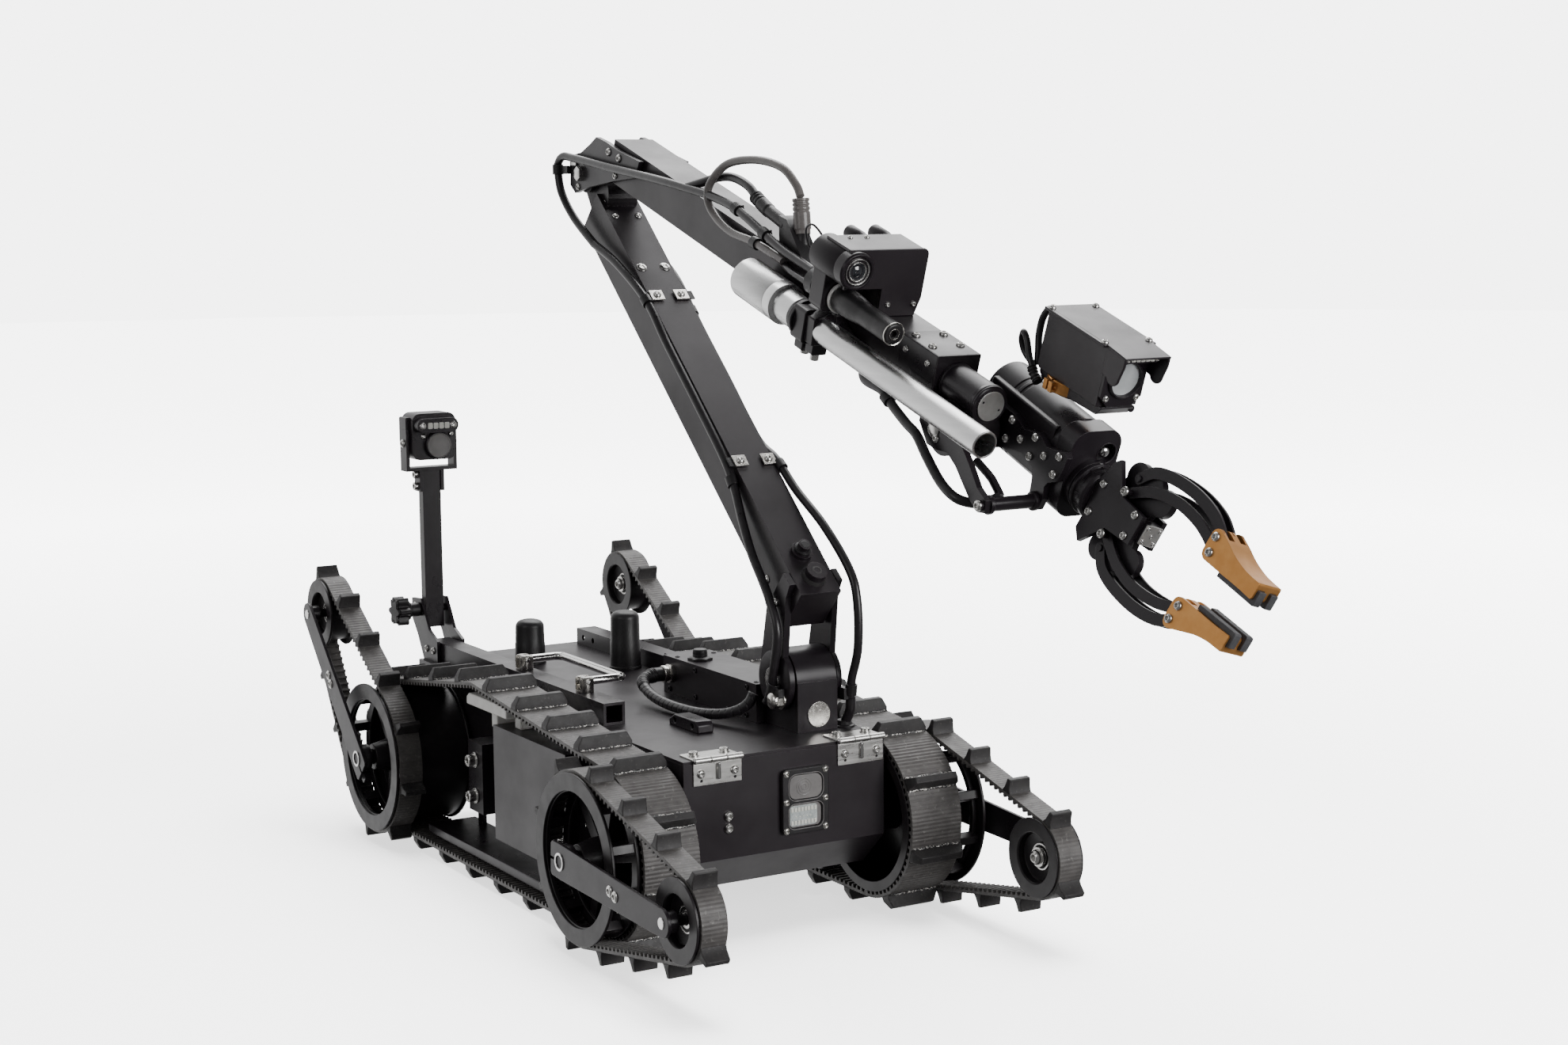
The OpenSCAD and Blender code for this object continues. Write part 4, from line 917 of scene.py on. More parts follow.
def mast():
    """The mast's camera, its screws and the star knob."""
    camera_box, lens = Part(), (0, -86, 434)
    camera_box.prism(rounded(-115.4, 417.3, -62.6, 470.5, 9, 8), MAST_X - 14, MAST_X + 18, "X")
    camera_box.prism(rounded(-114, 449, -64, 465.4, 7.9, 8), MAST_X + 16, MAST_X + 30, "X")
    camera_box.prism(rounded(-119.6, 436, -112, 466, 2, 4), MAST_X - 12, MAST_X + 8, "X")
    camera_box.lathe([(MAST_X + 16, 0), (MAST_X + 16, 15.6), (MAST_X + 23, 15.6), (MAST_X + 24, 14.8),
                      (MAST_X + 24, 0)], lens, "X", 48)
    camera_box.rod((MAST_X, 0, TILT_Z), 3, -122, -56, "Y", 24)
    camera_box.make("mast_camera_body", ANODISED, "mast_head", bevel=1.2, replaces=("mast_camera",),
                    segments=3)
    eye = Part()
    eye.lathe([(MAST_X + 23.6, 0), (MAST_X + 23.6, 14.3), (MAST_X + 25.2, 14.3), (MAST_X + 25.6, 13.4),
               (MAST_X + 25.1, 12.6), (MAST_X + 25.1, 0)], lens, "X", 48)
    eye.make("mast_camera_glass", WINDOW, "mast_head")
    lamps, screws = Part(), Part()
    for k in range(4):
        lamps.prism(rounded(-101.6 + 6.8 * k, 453.6, -95.8 + 6.8 * k, 460.6, 1.2), MAST_X + 29.8,
                    MAST_X + 30.9, "X")
    lamps.make("mast_camera_lamps", LAMP, "mast_head", bevel=0.3)
    for y in (-107.6, -70.4):
        screws.head((MAST_X + 29.9, y, 457.2), (1, 0, 0), 4.0, 1.6)
    for y, z in ((-102.6, 444.4), (-69, 446), (-86, 420.2)):
        screws.head((MAST_X + 17.9, y, z), (1, 0, 0), 3.2, 2.2)
    screws.make("mast_camera_screws", STEEL, "mast_head")
    ears = Part()
    for z in (386, 399.5):
        ears.head((MAST_X, -104, z), (0, -1, 0), 4.6, 4.6, "cap")
    for y, s in ((-120, -1), (-58, 1)):
        ears.head((MAST_X, y, TILT_Z), (0, s, 0), 4.8, 3.0)
    ears.make("mast_clamp_screws", STEEL, "mast")
    rounds = Part()
    for x, z in ((-325, 200), (-306, 200), (-356, 246)):
        for y, s in ((-106, -1), (-72, 1)):
            rounds.head((x, y, z), (0, s, 0), 4.2, 2.4)
    rounds.make("mast_foot_screws", STEEL, "lid")
    knob = Part()
    lobes = [(14.4 + 3.4 * math.cos(6 * a), a) for a in (math.radians(5 * k) for k in range(72))]
    for size, y0, y1 in ((0.86, -137.6, -135), (1, -135.2, -122.6)):
        outline = [(MAST_X + size * r * math.cos(a), MAST_PIVOT + size * r * math.sin(a)) for r, a in lobes]
        knob.prism(outline, y0, y1)
    knob.rod((MAST_X, 0, MAST_PIVOT), 11.5, -123, -119, "Y", 40, 0.8)
    knob.rod((MAST_X, 0, MAST_PIVOT), 8, -120, -106.6, "Y", 32)
    knob.rod((MAST_X, 0, MAST_PIVOT), 4, -118, -70, "Y", 24)
    knob.make("mast_knob_star", PLASTIC, "pivot_knob", bevel=1.0, replaces=("mast_knob",), segments=3)


guides()
front_panel()
hinges()
hull_screws()
deck()
wiring()
handle()
aerials()
mast()


# ---------- wrist and gripper ----------
PALM_HALF, STAR_Y = 19.9, 14.7                    # from the palm's middle to a finger's pin and to its side
OUTER_Y, INNER_Y, LINK_T = 3.8, 7.0, 2.8          # where the links' layers begin, and their thickness
INNER_P, OUTER_P = (0, PALM_HALF), (-2, PALM_HALF + 13)            # the links' pins at the palm
INNER_T, OUTER_T = (106.4, 24.6), (104.4, 37.6)                    # and at the fingertip


def wrist():
    """Screws of the wrist's plates and the collars on its cross rod."""
    screws = Part()
    for x, z in ((553, 500), (575, 503), (566, 486), (587, 488), (609, 489), (600, 473), (541, 516),
                 (531, 499)):
        screws.head((x, 91, z), (0, -1, 0), 3.9, 2.8)
    screws.head((573, 31, 447.5), (0, -1, 0), 5.0, 2.4)
    for x, z in ((494, 524), (505, 500)):
        screws.head((x, 34.5, z), (0, -1, 0), 3.9, 2.6)
    for y, s in ((34.5, -1), (97.3, 1)):
        screws.head((WRIST[0], y, WRIST[2]), (0, s, 0), 8.2, 3.0, "plain")
    screws.make("wrist_screws", STEEL, "gripper")
    bar, rod_at = Part(), (573, 0, 447.5)
    collar = [(40.2, 6.3), (40.2, 8.6), (44, 8.6), (45, 6.3)]
    bar.lathe(collar, rod_at, "Y", 32)
    bar.lathe([(132 - t, r) for t, r in collar], rod_at, "Y", 32)
    bar.make("wrist_rod_collars", ANODISED, "gripper", bevel=0.3)


def housing():
    """The gripper's motor housing and the neck of the palm."""
    body = Part(HAND)
    for x0, x1, r in ((-186, -155, 25), (-156, -150.6, 24.2), (-151, -146.4, 25), (-147, -143.6, 24.2),
                      (-144, -76.5, 25)):
        body.prism(capsule((0, 0), (0, 25), r - 0.3, r - 0.3, 24), x0, x1, "X")
    body.prism(rounded(-25, -12, 12, 40, 2), -180, -84, "X")
    body.make("gripper_body", ANODISED, "gripper", bevel=1.0, replaces=("gripper_housing",), segments=3)
    cap, pocket, pocket_at = Part(HAND), Part(HAND), (0, 12, 27)
    cap.prism(rounded(-25.3, -31, 25.3, 48.6, 15, 10), -77, -57, "X")
    pocket.rod(pocket_at, 9.2, -64, -50, "X", 40, SHARP)
    cap.make("gripper_front_cap", ANODISED, "gripper", bevel=2.6, segments=4, cuts=pocket)
    ball = Part(HAND)
    dome = [(-61 + 4.6 * math.sin(math.radians(a)), 5.6 * math.cos(math.radians(a)))
            for a in range(0, 90, 15)]
    ball.lathe([(-64.2, 0), (-64.2, 5.6)] + dome + [(-56.4, 0)], pocket_at, "X", 32)
    ball.make("gripper_stop_ball", CHROME, "gripper")
    rim = Part(HAND)
    rim.lathe([(-57.6, 9.0), (-57.6, 10.4), (-56.6, 10.1), (-56.4, 9.4), (-56.8, 9.0)], pocket_at, "X", 40)
    rim.make("gripper_pocket_rim", ANODISED, "gripper")
    neck = Part(PALM)
    neck.lathe([(-57.2, 12), (-57.2, 22.6), (-51, 22.6), (-50.4, 21.2), (-49.2, 21.2), (-48.6, 23.4),
                (-45.6, 23.4), (-44.6, 21), (-39.4, 21), (-38.4, 23), (-34.6, 23), (-32.4, 21), (-32.4, 12)],
               seg=64)
    for k in range(12):
        a = math.radians(15 + 30 * k)
        neck.prism([(t * math.cos(a) + h * math.sin(a), t * math.sin(a) - h * math.cos(a))
                    for t, h in ((20, -1.6), (22, -1.2), (22, 1.2), (20, 1.6))], -44.4, -39.6, "X")
    neck.make("palm_neck", ANODISED, "palm", bevel=0.35)


def palm():
    """Screws and face plate of the palm."""
    screws = Part(PALM)
    for s in (-1, 1):
        for x, z in ((-25.6, 13), (-25.6, -13), (21.1, 9.6), (21.1, -9.6)):
            screws.head((x, s * STAR_Y, z), (0, s, 0), 3.7, 2.3)
        for z in (-PALM_HALF, PALM_HALF):
            screws.head((0, s * (STAR_Y + 1.2), z), (0, s, 0), 4.2, 2.6)
    screws.make("palm_screws", STEEL, "palm")
    block = Part(PALM)
    block.prism(rounded(-9.6, -9, 9.6, 9, 1.5), 32.8, 34.4, "X")
    block.make("palm_face_plate", SATIN, "palm", bevel=0.4)
    small = Part(PALM)
    for y, z in ((-6.4, -5.8), (6.4, -5.8), (0, 0), (-6.4, 5.8), (6.4, 5.8)):
        small.head((34.2, y, z), (1, 0, 0), 2.1, 1.3)
    small.make("palm_face_screws", CHROME, "palm")


def finger(which, up):
    """One finger in the palm's frame; up is 1 for the upper and -1 for the lower one."""
    local = PALM @ Matrix.Scale(up, 4, (0, 0, 1))

    def bars(name, body, node, line, r, y0):
        """A pair of bent link plates along a line, with two pins between them."""
        path = smooth([(x, 0, z) for x, z in line], 7)
        part = Part(local)
        n = len(path)
        edges = []
        for i, p in enumerate(path):
            t = (path[min(i + 1, n - 1)] - path[max(i - 1, 0)]).normalized()
            edges.append((p.x, p.z, -t.z, t.x))
        upper = [(x + r * u, z + r * w) for x, z, u, w in edges]
        lower = [(x - r * u, z - r * w) for x, z, u, w in edges]
        start = math.degrees(math.atan2(edges[0][3], edges[0][2]))
        end = math.degrees(math.atan2(edges[-1][3], edges[-1][2]))
        nose = arc(edges[-1][0], edges[-1][1], r, end, end - 180, 12)[1:-1]
        heel = arc(edges[0][0], edges[0][1], r, start + 180, start, 12)[1:-1]
        outline = upper + nose + lower[::-1] + heel
        for a, b in ((-y0 - LINK_T, -y0), (y0, y0 + LINK_T)):
            part.prism(outline, a, b)
        for k in (0.3, 0.72):
            x, z, u, w = edges[int(k * n)]
            part.rod((x, 0, z), 2.3, -y0 - 0.5, y0 + 0.5, "Y", 20, 0.2)
        part.make(name, ANODISED, body, bevel=0.55, replaces=(node,))

    bars("finger_outer_" + which, "outer_" + which, "outer_link_" + which,
         (OUTER_P, (10, 45), (31, 51), (60, 52.5), (86, 48), OUTER_T), 5, OUTER_Y)
    bars("finger_inner_" + which, "inner_" + which, "inner_link_" + which,
         (INNER_P, (22, 32.5), (48, 38.5), (76, 37), (96, 31), INNER_T), 4.6, INNER_Y)
    tip, slots = Part(local), Part(local)
    crown = [(x, z) for x, y, z in smooth([(107, 0, 44.4), (118, 0, 40.4), (131, 0, 35.2), (147, 0, 31.6),
                                           (163.6, 0, 30.8)], 6)]
    belly = [(x, z) for x, y, z in smooth([(163.8, 0, 16.4), (146, 0, 17.2), (126, 0, 17.2),
                                           (106, 0, 17.4)])]
    outline = (arc(105.5, 38.2, 6.5, 178, 96, 6) + crown + arc(162.6, 28.9, 2.4, 60, 0, 3)
               + arc(162.6, 18.6, 2.4, 0, -60, 3) + belly + arc(105.5, 24, 6.5, 264, 182, 6))
    tip.prism(outline, -13.2, 13.2)
    for s in (-1, 1):
        side_box(slots, s, (94, 3.5, 8), (115.4, 10.1, 52))
        side_box(slots, s, (94, 10.9, 40.6), (109, 11.9, 52))
        side_box(slots, s, (120, 2.9, 8), (163.6, 11.1, 16.8))
        side_box(slots, s, (160.6, 2.9, 8), (170, 11.1, 25.6))
    slots.box((94, -0.8, 40.6), (109, 0.8, 52))
    tip.make("fingertip_cast_" + which, GOLD, "tip_" + which, bevel=0.8, replaces=("fingertip_" + which,),
             cuts=slots, segments=3)
    pads = Part(local)
    for s in (-1, 1):
        strip = ([(122.4, 17.0), (122.4, 12.9)] + arc(166.2, 14.2, 1.9, -90, 0, 4)
                 + [(168.0, 25.2), (161.2, 25.2), (161.2, 17.0)])
        pads.prism(strip, *span(s, 3.1, 10.9))
    pads.make("fingertip_pads_" + which, PAD, "tip_" + which, bevel=0.5)
    pins = Part(local)
    for s in (-1, 1):
        for x, z in (INNER_T, OUTER_T):
            pins.head((x, s * 13.2, z), (0, s, 0), 3.9, 2.6)
    pins.make("fingertip_screws_" + which, STEEL, "tip_" + which)


def gripper_eye():
    """The camera over the gripper: a folded box with a sunshade, glass, lamp bar and gold clamp."""
    lens = (0, 0, 25)
    case, front, glass = Part(EYE), Part(EYE), Part(EYE)
    case.prism([(-43, 2), (-40, 0), (41, 0), (41, 52), (-43, 52)], -20.6, 20.6)
    case.make("eye_case", SHEET, "gripper", bevel=0.5, replaces=("gripper_camera",))
    face = [(-20.8, 9.5), (-13, 1), (13, 1), (20.8, 9.5), (20.8, 52), (-20.8, 52)]
    opening = Part(EYE)
    opening.rod(lens, 15.4, 38, 50, "X", 56, SHARP)
    front.prism(face, 40.8, 44.6, "X")
    front.make("eye_front_plate", ANODISED, "gripper", bevel=0.5, cuts=opening)
    ring = Part(EYE)
    ring.lathe([(40.8, 14.2), (40.8, 16.6), (46.4, 16.6), (47.6, 15.8), (47.6, 14.8), (44.2, 14.2)],
               lens, "X", 56)
    ring.make("eye_ring", ANODISED, "gripper")
    glass.lathe([(41, 0), (41, 14.6), (44.0, 14.6), (44.3, 0)], lens, "X", 56)
    glass.make("eye_glass", GLASS, "gripper")
    shade = Part(EYE)
    roof = [(-43.5, 51.6), (42, 51.6), (66, 50.8), (66.6, 52.6), (42, 54.4), (-43.5, 54.4)]
    shade.prism(roof, -23.4, 23.4)
    ear = [(41, 52.6), (41, 30)] + arc(55, 33, 8, 210, 360, 8) + [(66, 44), (66, 51.4), (62, 52.4)]
    for s in (-1, 1):
        shade.prism(ear, *span(s, 20.9, 23.2))
    for y in (-26.6, 22.6):
        shade.prism([(y, 51.8), (y + 4, 51.8), (y + 4, 54.2), (y, 54.2)], -43, 41, "X")
    shade.make("eye_sunshade", SHEET, "gripper", bevel=0.7, segments=3)
    bar = Part(EYE)
    bar.prism(rounded(-17, 45.6, 17, 52, 3), 48, 60, "X")
    bar.make("eye_lamp_bar", ANODISED, "gripper", bevel=0.4)
    lamps = Part(EYE)
    for k in range(5):
        y = -9.6 + 4.8 * k
        lamps.prism(rounded(y - 2.0, 47, y + 2.0, 50.8, 0.7, 3), 59.8, 60.8, "X")
        lamps.lathe([(60.6, 1.6), (61.4, 1.1), (61.6, 0)], (0, y, 48.9), "X", 16, closed=False)
    lamps.make("eye_lamps", LAMP, "gripper", bevel=0.2)
    bolts = Part(EYE)
    for y, z in ((-15.4, 8.6), (15.4, 8.6)):
        bolts.head((44.6, y, z), (1, 0, 0), 2.9, 1.6)
    for y in (-14.6, 14.6):
        bolts.head((60, y, 48.9), (1, 0, 0), 2.2, 1.2)
    for x in (-38, 36):
        for y in (-22.4, 22.4):
            bolts.head((x, y, 54.4), (0, 0, 1), 3.2, 2.2)
    bolts.make("eye_screws", STEEL, "gripper")
    gland = Part(EYE)
    gland.rod((0, -8, 46), 5.6, -49, -43, "X", 24, 0.6)
    gland.lathe([(-49, 3.2), (-49, 4.6), (-56, 4.2), (-57, 3.0)], (0, -8, 46), "X", 24)
    gland.make("eye_gland", NICKEL, "gripper")
    lead = Part(EYE)
    lead.tube([(-52, -8, 46), (-59, -8.5, 44), (-63, -9.5, 34), (-61, -11, 20), (-56, -12, 8),
               (-52, -13, -3)], 3.1, 16, 8)
    lead.tube([(-60, -12, -5), (-71, -14, 1), (-76, -16, 10), (-72, -19, 19), (-64, -20, 15), (-55, -20, 2),
               (-45, -20, -7)], 2.7, 16, 8)
    lead.make("eye_leads", CABLE, "gripper")
    boots = Part(EYE)
    boots.tube([(-50, -20, -3.5), (-45, -20, -8), (-38, -20, -12)], 4.4, 20, 6,
               ridge=lambda s: 1 - 0.16 * (math.sin(s * 1.9) > 0.2))
    boots.make("eye_plug", PLASTIC, "gripper")
    perch = Part(EYE)
    perch.prism([(-34, -12), (38, -8), (44, -1), (44, 0.4), (-43, 0.4), (-43, -4)], -17, 17)
    perch.rod((0, 17, -3.4), 3.2, -40, 42, "X", 24)
    perch.make("eye_perch", ANODISED, "gripper", bevel=0.8)
    jaw, bite = Part(EYE), Part(EYE)
    jaw.lathe([(-10.4, 15.5), (-10.4, 22.6), (-9.6, 23), (-0.6, 23), (-0.2, 22.4), (-0.2, 15.5)],
              (-16, 0, 0), "Z", 72)
    jaw.box((-22, -27.5, -9.6), (-10.5, -19, -0.8))
    bite.box((-17.3, -34, -14), (-15.2, -12, 6))
    bite.rod((0, -24.5, -5.2), 2.2, -26, -8, "X", 20, SHARP)
    jaw.make("eye_clamp", GOLD, "gripper", bevel=0.7, replaces=("camera_clamp",), cuts=bite, segments=3)
    hub = Part(EYE)
    hub.rod((-16, 0, 0), 15.4, -14, -0.4, "Z", 48)
    hub.make("eye_clamp_hub", DEEP, "gripper", bevel=0.4)
    pinch = Part(EYE)
    pinch.head((-22, -24.5, -5.2), (-1, 0, 0), 2.6, 2.2, "cap")
    pinch.make("eye_clamp_screw", STEEL, "gripper")


wrist()
housing()
palm()
finger("upper", 1)
finger("lower", -1)
gripper_eye()


# ---------- aiming kit on the forearm ----------
def barrel():
    tube, bore = Part(BARREL), Part(BARREL)
    tube.lathe([(0, 0), (0, 19.6), (1.2, 20.5), (62, 20.5), (63, 20.1), (64, 20.5), (76, 20.5), (77.4, 19),
                (78, 16.5), (104, 16.5), (106, 14), (107, 12.5), (416.4, 12.5), (417, 12), (417, 0)], seg=72)
    bore.rod((0, 0, 0), 10.6, 300, 420, "X", 64, SHARP)
    tube.make("barrel_tube", TUBE, "forearm", bevel=0.25, replaces=("barrel",), cuts=bore)
    clamp = Part(BARREL)
    clamp.plate(arc(0, 0, 19, -90, 270, 40)[:-1], arc(0, 0, 12.6, -90, 270, 40)[:-1], 110, 116, "X")
    clamp.prism(rounded(-15, -17, 14, 16, 4), 112, 134, "X")
    clamp.prism([(-12, -14), (10, -14), (20, -4), (23, 15.6), (4, 19), (-13, 12)], 117, 148, "X")
    clamp.prism(rounded(-9, -27, 9, -11, 2), 113, 128, "X")
    clamp.prism(rounded(-8, -25, 8, -11, 2), 131, 145, "X")
    clamp.prism([(13, -14), (22.6, -10), (22.6, 16), (8, 17)], 108, 150, "X")
    clamp.make("barrel_bracket", ANODISED, "forearm", bevel=1.0, replaces=("barrel_clamp",))
    bolts = Part(BARREL)
    for x in (120, 138):
        bolts.head((x, 0, -26.6), (0, 0, -1), 4.3, 5.2, "cap")
        bolts.rod((x, 0, 0), 2.4, -27, -22, "Z", 20)
    bolts.make("barrel_bracket_screws", STEEL, "forearm")


def aiming_kit():
    front, w = 546, 23
    camera_at, light_at = (front, -56, 46), (front, -47, 9)
    plate = Part(FORE)
    wall = ([(-w, 0.2), (w - 6, 0.2), (w - 1, 18), (w - 1, 56)] + arc(w - 7, 59, 6, 0, 90, 6)
            + [(-64, 65), (-64, 27), (-w, 27)])
    plate.prism(wall, front - 3, front, "X")
    plate.prism([(-64, 62.2), (w - 7, 62.2), (w - 5, 63), (w - 7, 65), (-64, 65)], front - 42, front - 1, "X")
    plate.box((front - 42, -w, 0), (front - 2, w - 5, 3))
    plate.box((front - 50, -w, 0), (front - 2, 3 - w, 30))
    plate.make("kit_bracket", SHEET, "forearm", bevel=0.5, replaces=("aiming_camera",))
    camera_tube = Part(FORE)
    camera_tube.lathe([(-53, 0), (-53, 16.4), (-51.4, 17.9), (-10, 17.9), (-9, 17.3), (-7.6, 17.3), (-7, 18),
                       (4, 18), (6, 16.6), (6, 14.4), (4.4, 13.6), (4.0, 0)], camera_at, "X", 64)
    camera_tube.make("kit_camera", ANODISED, "forearm", bevel=0.3)
    rings = Part(FORE)
    for r, x in ((12.6, 5.2), (9.4, 4.9)):
        rings.lathe([(3.8, r - 1.6), (x, r - 1.4), (x + 0.6, r - 0.7), (x + 0.6, r - 0.2), (3.8, r)],
                    camera_at, "X", 64)
    rings.make("kit_camera_rings", STEEL, "forearm")
    lens = Part(FORE)
    lens.lathe([(3.6, 0), (3.6, 8.0), (4.6, 7.8), (4.0, 5.4), (4.4, 4.6), (5.4, 2.6), (5.7, 0)],
               camera_at, "X", 48)
    lens.make("kit_camera_lens", LENS, "forearm")
    lamp = Part(FORE)
    lamp.lathe([(-76, 0), (-76, 12.2), (-75, 13), (-62, 13), (-61, 12), (-56, 12), (-55, 13), (-28.4, 13),
                (-28, 12.4), (-28, 0)], light_at, "X", 64)
    nose = [(-25.4, 0), (-25.4, 12.6), (-24, 13.4), (-4, 12.8), (4, 12.2), (14, 10.9), (19, 10.6),
            (62.4, 10.6)]
    nose += [(66 - 3.4 * (1 - math.sin(math.radians(a))), 7.2 + 3.4 * math.cos(math.radians(a)))
             for a in range(0, 91, 18)]
    nose += [(66, 4.6), (65.2, 4.4), (65.2, 3.2, True), (60, 3.2, True), (60, 0)]
    lamp.lathe(nose, light_at, "X", 64)
    lamp.make("kit_light", PLASTIC, "forearm", bevel=0.2)
    glow = Part(FORE)
    glow.lathe([(-28.6, 10), (-28.6, 14.3), (-27.8, 14.7), (-25.6, 14.7), (-25, 14.1), (-25, 10)],
               light_at, "X", 64)
    glow.make("kit_light_ring", WHITE, "forearm")
    trim = Part(FORE)
    trim.lathe([(64.8, 9.9), (65.4, 10.9), (64.6, 11.1), (63.6, 10.9)], light_at, "X", 64)
    trim.lathe([(64.9, 4.3), (66.3, 4.5), (66.3, 5.3), (64.9, 5.5)], light_at, "X", 48)
    trim.make("kit_light_trim", NICKEL, "forearm")
    holder = Part(FORE)
    holder.prism(rounded(-66, -5, -21, 40, 6), front - 52, front - 30, "X")
    holder.prism(rounded(-55, 0, -22, 15, 2), front - 60, front - 34, "X")
    for y in (-18, 9):
        holder.lathe([(front - 76, 0), (front - 76, 6.4), (front - 75, 7.2), (front - 56, 7.2),
                      (front - 55, 6.6), (front - 41, 6.6), (front - 41, 0)], (0, y, 56), "X", 32)
    holder.make("kit_holder", ANODISED, "forearm", bevel=0.8)
    screws = Part(FORE)
    for y in (-44, -26):
        screws.head((front - 34, y, 65), (0, 0, 1), 2.6, 1.8)
    for y, z in ((14, 12), (-14, 12)):
        screws.head((front, y, z), (1, 0, 0), 2.8, 2)
    screws.head((front - 12, -34, 30), (0, 0, 1), 2.4, 2)
    screws.make("kit_screws", STEEL, "forearm")


barrel()
aiming_kit()


# ---------- belts, wheels and flippers ----------
BELT_R, BELT_T, LUG_H = 84.5, 4.5, 13.5            # radius of the outer face, thickness and lug height
TIP_BELT_R = 40.7
MAIN_BELT_Y, FLIPPER_BELT_Y = (118.0, 176.0), (178.4, 203.8)
RIB_PITCH, RIB_W = 4.0, 2.2
TOOTH_PITCH, TOOTH_W, TOOTH_H = 8.0, 3.6, 3.2
BAR_Y = (218, 221.5)                               # the flippers' outer plates


def tangent(c1, r1, c2, r2):
    """The direction of the outer tangent's normal between two circles, in degrees."""
    dx, dy = c2[0] - c1[0], c2[1] - c1[1]
    return math.degrees(math.atan2(dy, dx) + math.acos((r1 - r2) / math.hypot(dx, dy)))


def main_loop():
    """The main belt's outer face, side on: round both wheels and over a support between them."""
    f, b, q, r = (HALF_BASE, AXLE_Z), (-HALF_BASE, AXLE_Z), (-42, 192), 22
    af, ab = tangent(q, r, f, BELT_R), tangent(b, BELT_R, q, r)
    return arc(*f, BELT_R, -90, af, 80) + arc(*q, r, af, ab, 12) + arc(*b, BELT_R, ab, 270, 80)


def flipper_loop():
    """A flipper belt's outer face, side on, in the flipper's frame."""
    p = math.degrees(math.acos((BELT_R - TIP_BELT_R) / FLIPPER_LEN))
    return arc(FLIPPER_LEN, 0, TIP_BELT_R, -p, p, 48) + arc(0, 0, BELT_R, p, 360 - p, 88)


def walk(loop, gap):
    """Points evenly along a closed loop, each with its outward direction."""
    P = [Vector(p) for p in loop]
    lengths = [(P[(i + 1) % len(P)] - P[i]).length for i in range(len(P))]
    total = sum(lengths)
    count = round(total / gap)
    out, i, gone = [], 0, 0.0
    for k in range(count):
        s = total * k / count
        while gone + lengths[i] < s:
            gone += lengths[i]
            i += 1
        d = (P[(i + 1) % len(P)] - P[i]).normalized()
        out.append((P[i] + d * (s - gone), Vector((d.y, -d.x))))
    return out, total


def belt(name, loop, y0, y1, lugs, local, body, node, rib, wedge):
    """A toothed belt with fine ribs outside and lugs across it, glued on unless they are wedges."""
    rings, total = walk(loop, 1.0)
    part = Part(local)
    n = len(rings)
    verts, faces = [], []
    for k, (p, out) in enumerate(rings):
        s = k * total / n
        outer = p + out * (rib if s % RIB_PITCH < RIB_W else 0.0)
        inner = p - out * (BELT_T - TOOTH_H / 2 + (TOOTH_H if s % TOOTH_PITCH < TOOTH_W else 0.0))
        verts += [(outer.x, y0, outer.y), (outer.x, y1, outer.y), (inner.x, y1, inner.y),
                  (inner.x, y0, inner.y)]
    for k in range(n):
        a, b = 4 * k, 4 * ((k + 1) % n)
        faces += [[a + i, a + (i + 1) % 4, b + (i + 1) % 4, b + i] for i in range(4)]
    part.solid(verts, faces)
    part.make(name, BELT_PAINTED_SHEEN, body, sharp=25, replaces=(node,))
    blocks, beads = Part(local), Part(local)
    for k in range(lugs):
        p, out = rings[round((k + 0.5) * n / lugs) % n]
        along = Vector((-out.y, out.x))

        def spot(u, y, h):
            q = p + along * u + out * h
            return (q.x, y, q.y)

        low, high, shy = (7.0, 2.6, 1.0) if wedge else (6.5, 3.4, 5.0)
        waist = 0.55 * low if wedge else 0.86 * low
        rows = [(low, 0.0, -1.0), (waist, 0.0, 4.5), (high, shy, LUG_H)]
        verts = []
        for half, inset, h in rows:
            verts += [spot(-half, y0 + inset, h), spot(half, y0 + inset, h),
                      spot(half, y1 - inset, h), spot(-half, y1 - inset, h)]
        faces = [[3, 2, 1, 0], [8, 9, 10, 11]]
        for a in (0, 4):
            faces += [[a + i, a + (i + 1) % 4, a + 4 + (i + 1) % 4, a + 4 + i] for i in range(4)]
        blocks.solid(verts, faces)
        if not wedge:
            for side in (-1, 1):
                route = []
                for j in range(15):
                    y = y0 + 1.5 + (y1 - y0 - 3) * j / 14
                    route.append(spot(side * (6.6 + 0.5 * math.sin(5.1 * j + k)), y,
                                      0.7 + 0.3 * math.cos(3.7 * j + 2 * k)))
                beads.tube(route, 1.1, 6, 2)
    blocks.make(name + "_lugs", LUG, body, bevel=0.7)
    if not wedge:
        beads.make(name + "_glue", BEAD_PAINTED_GLINTS, body)
    else:
        beads.bm.free()


def spokes(part, count, r0, r1, half, y0, y1, turn):
    """Flat bars of half width half from radius r0 to r1 round the Y axis, the first at the angle turn."""
    for k in range(count):
        a = math.radians(turn + 360.0 * k / count)
        u, w = Vector((math.cos(a), math.sin(a))), Vector((-math.sin(a), math.cos(a)))
        corners = [u * r0 - w * half, u * r1 - w * half * 0.8, u * r1 + w * half * 0.8, u * r0 + w * half]
        part.prism([(c.x, c.y) for c in corners], min(y0, y1), max(y0, y1))


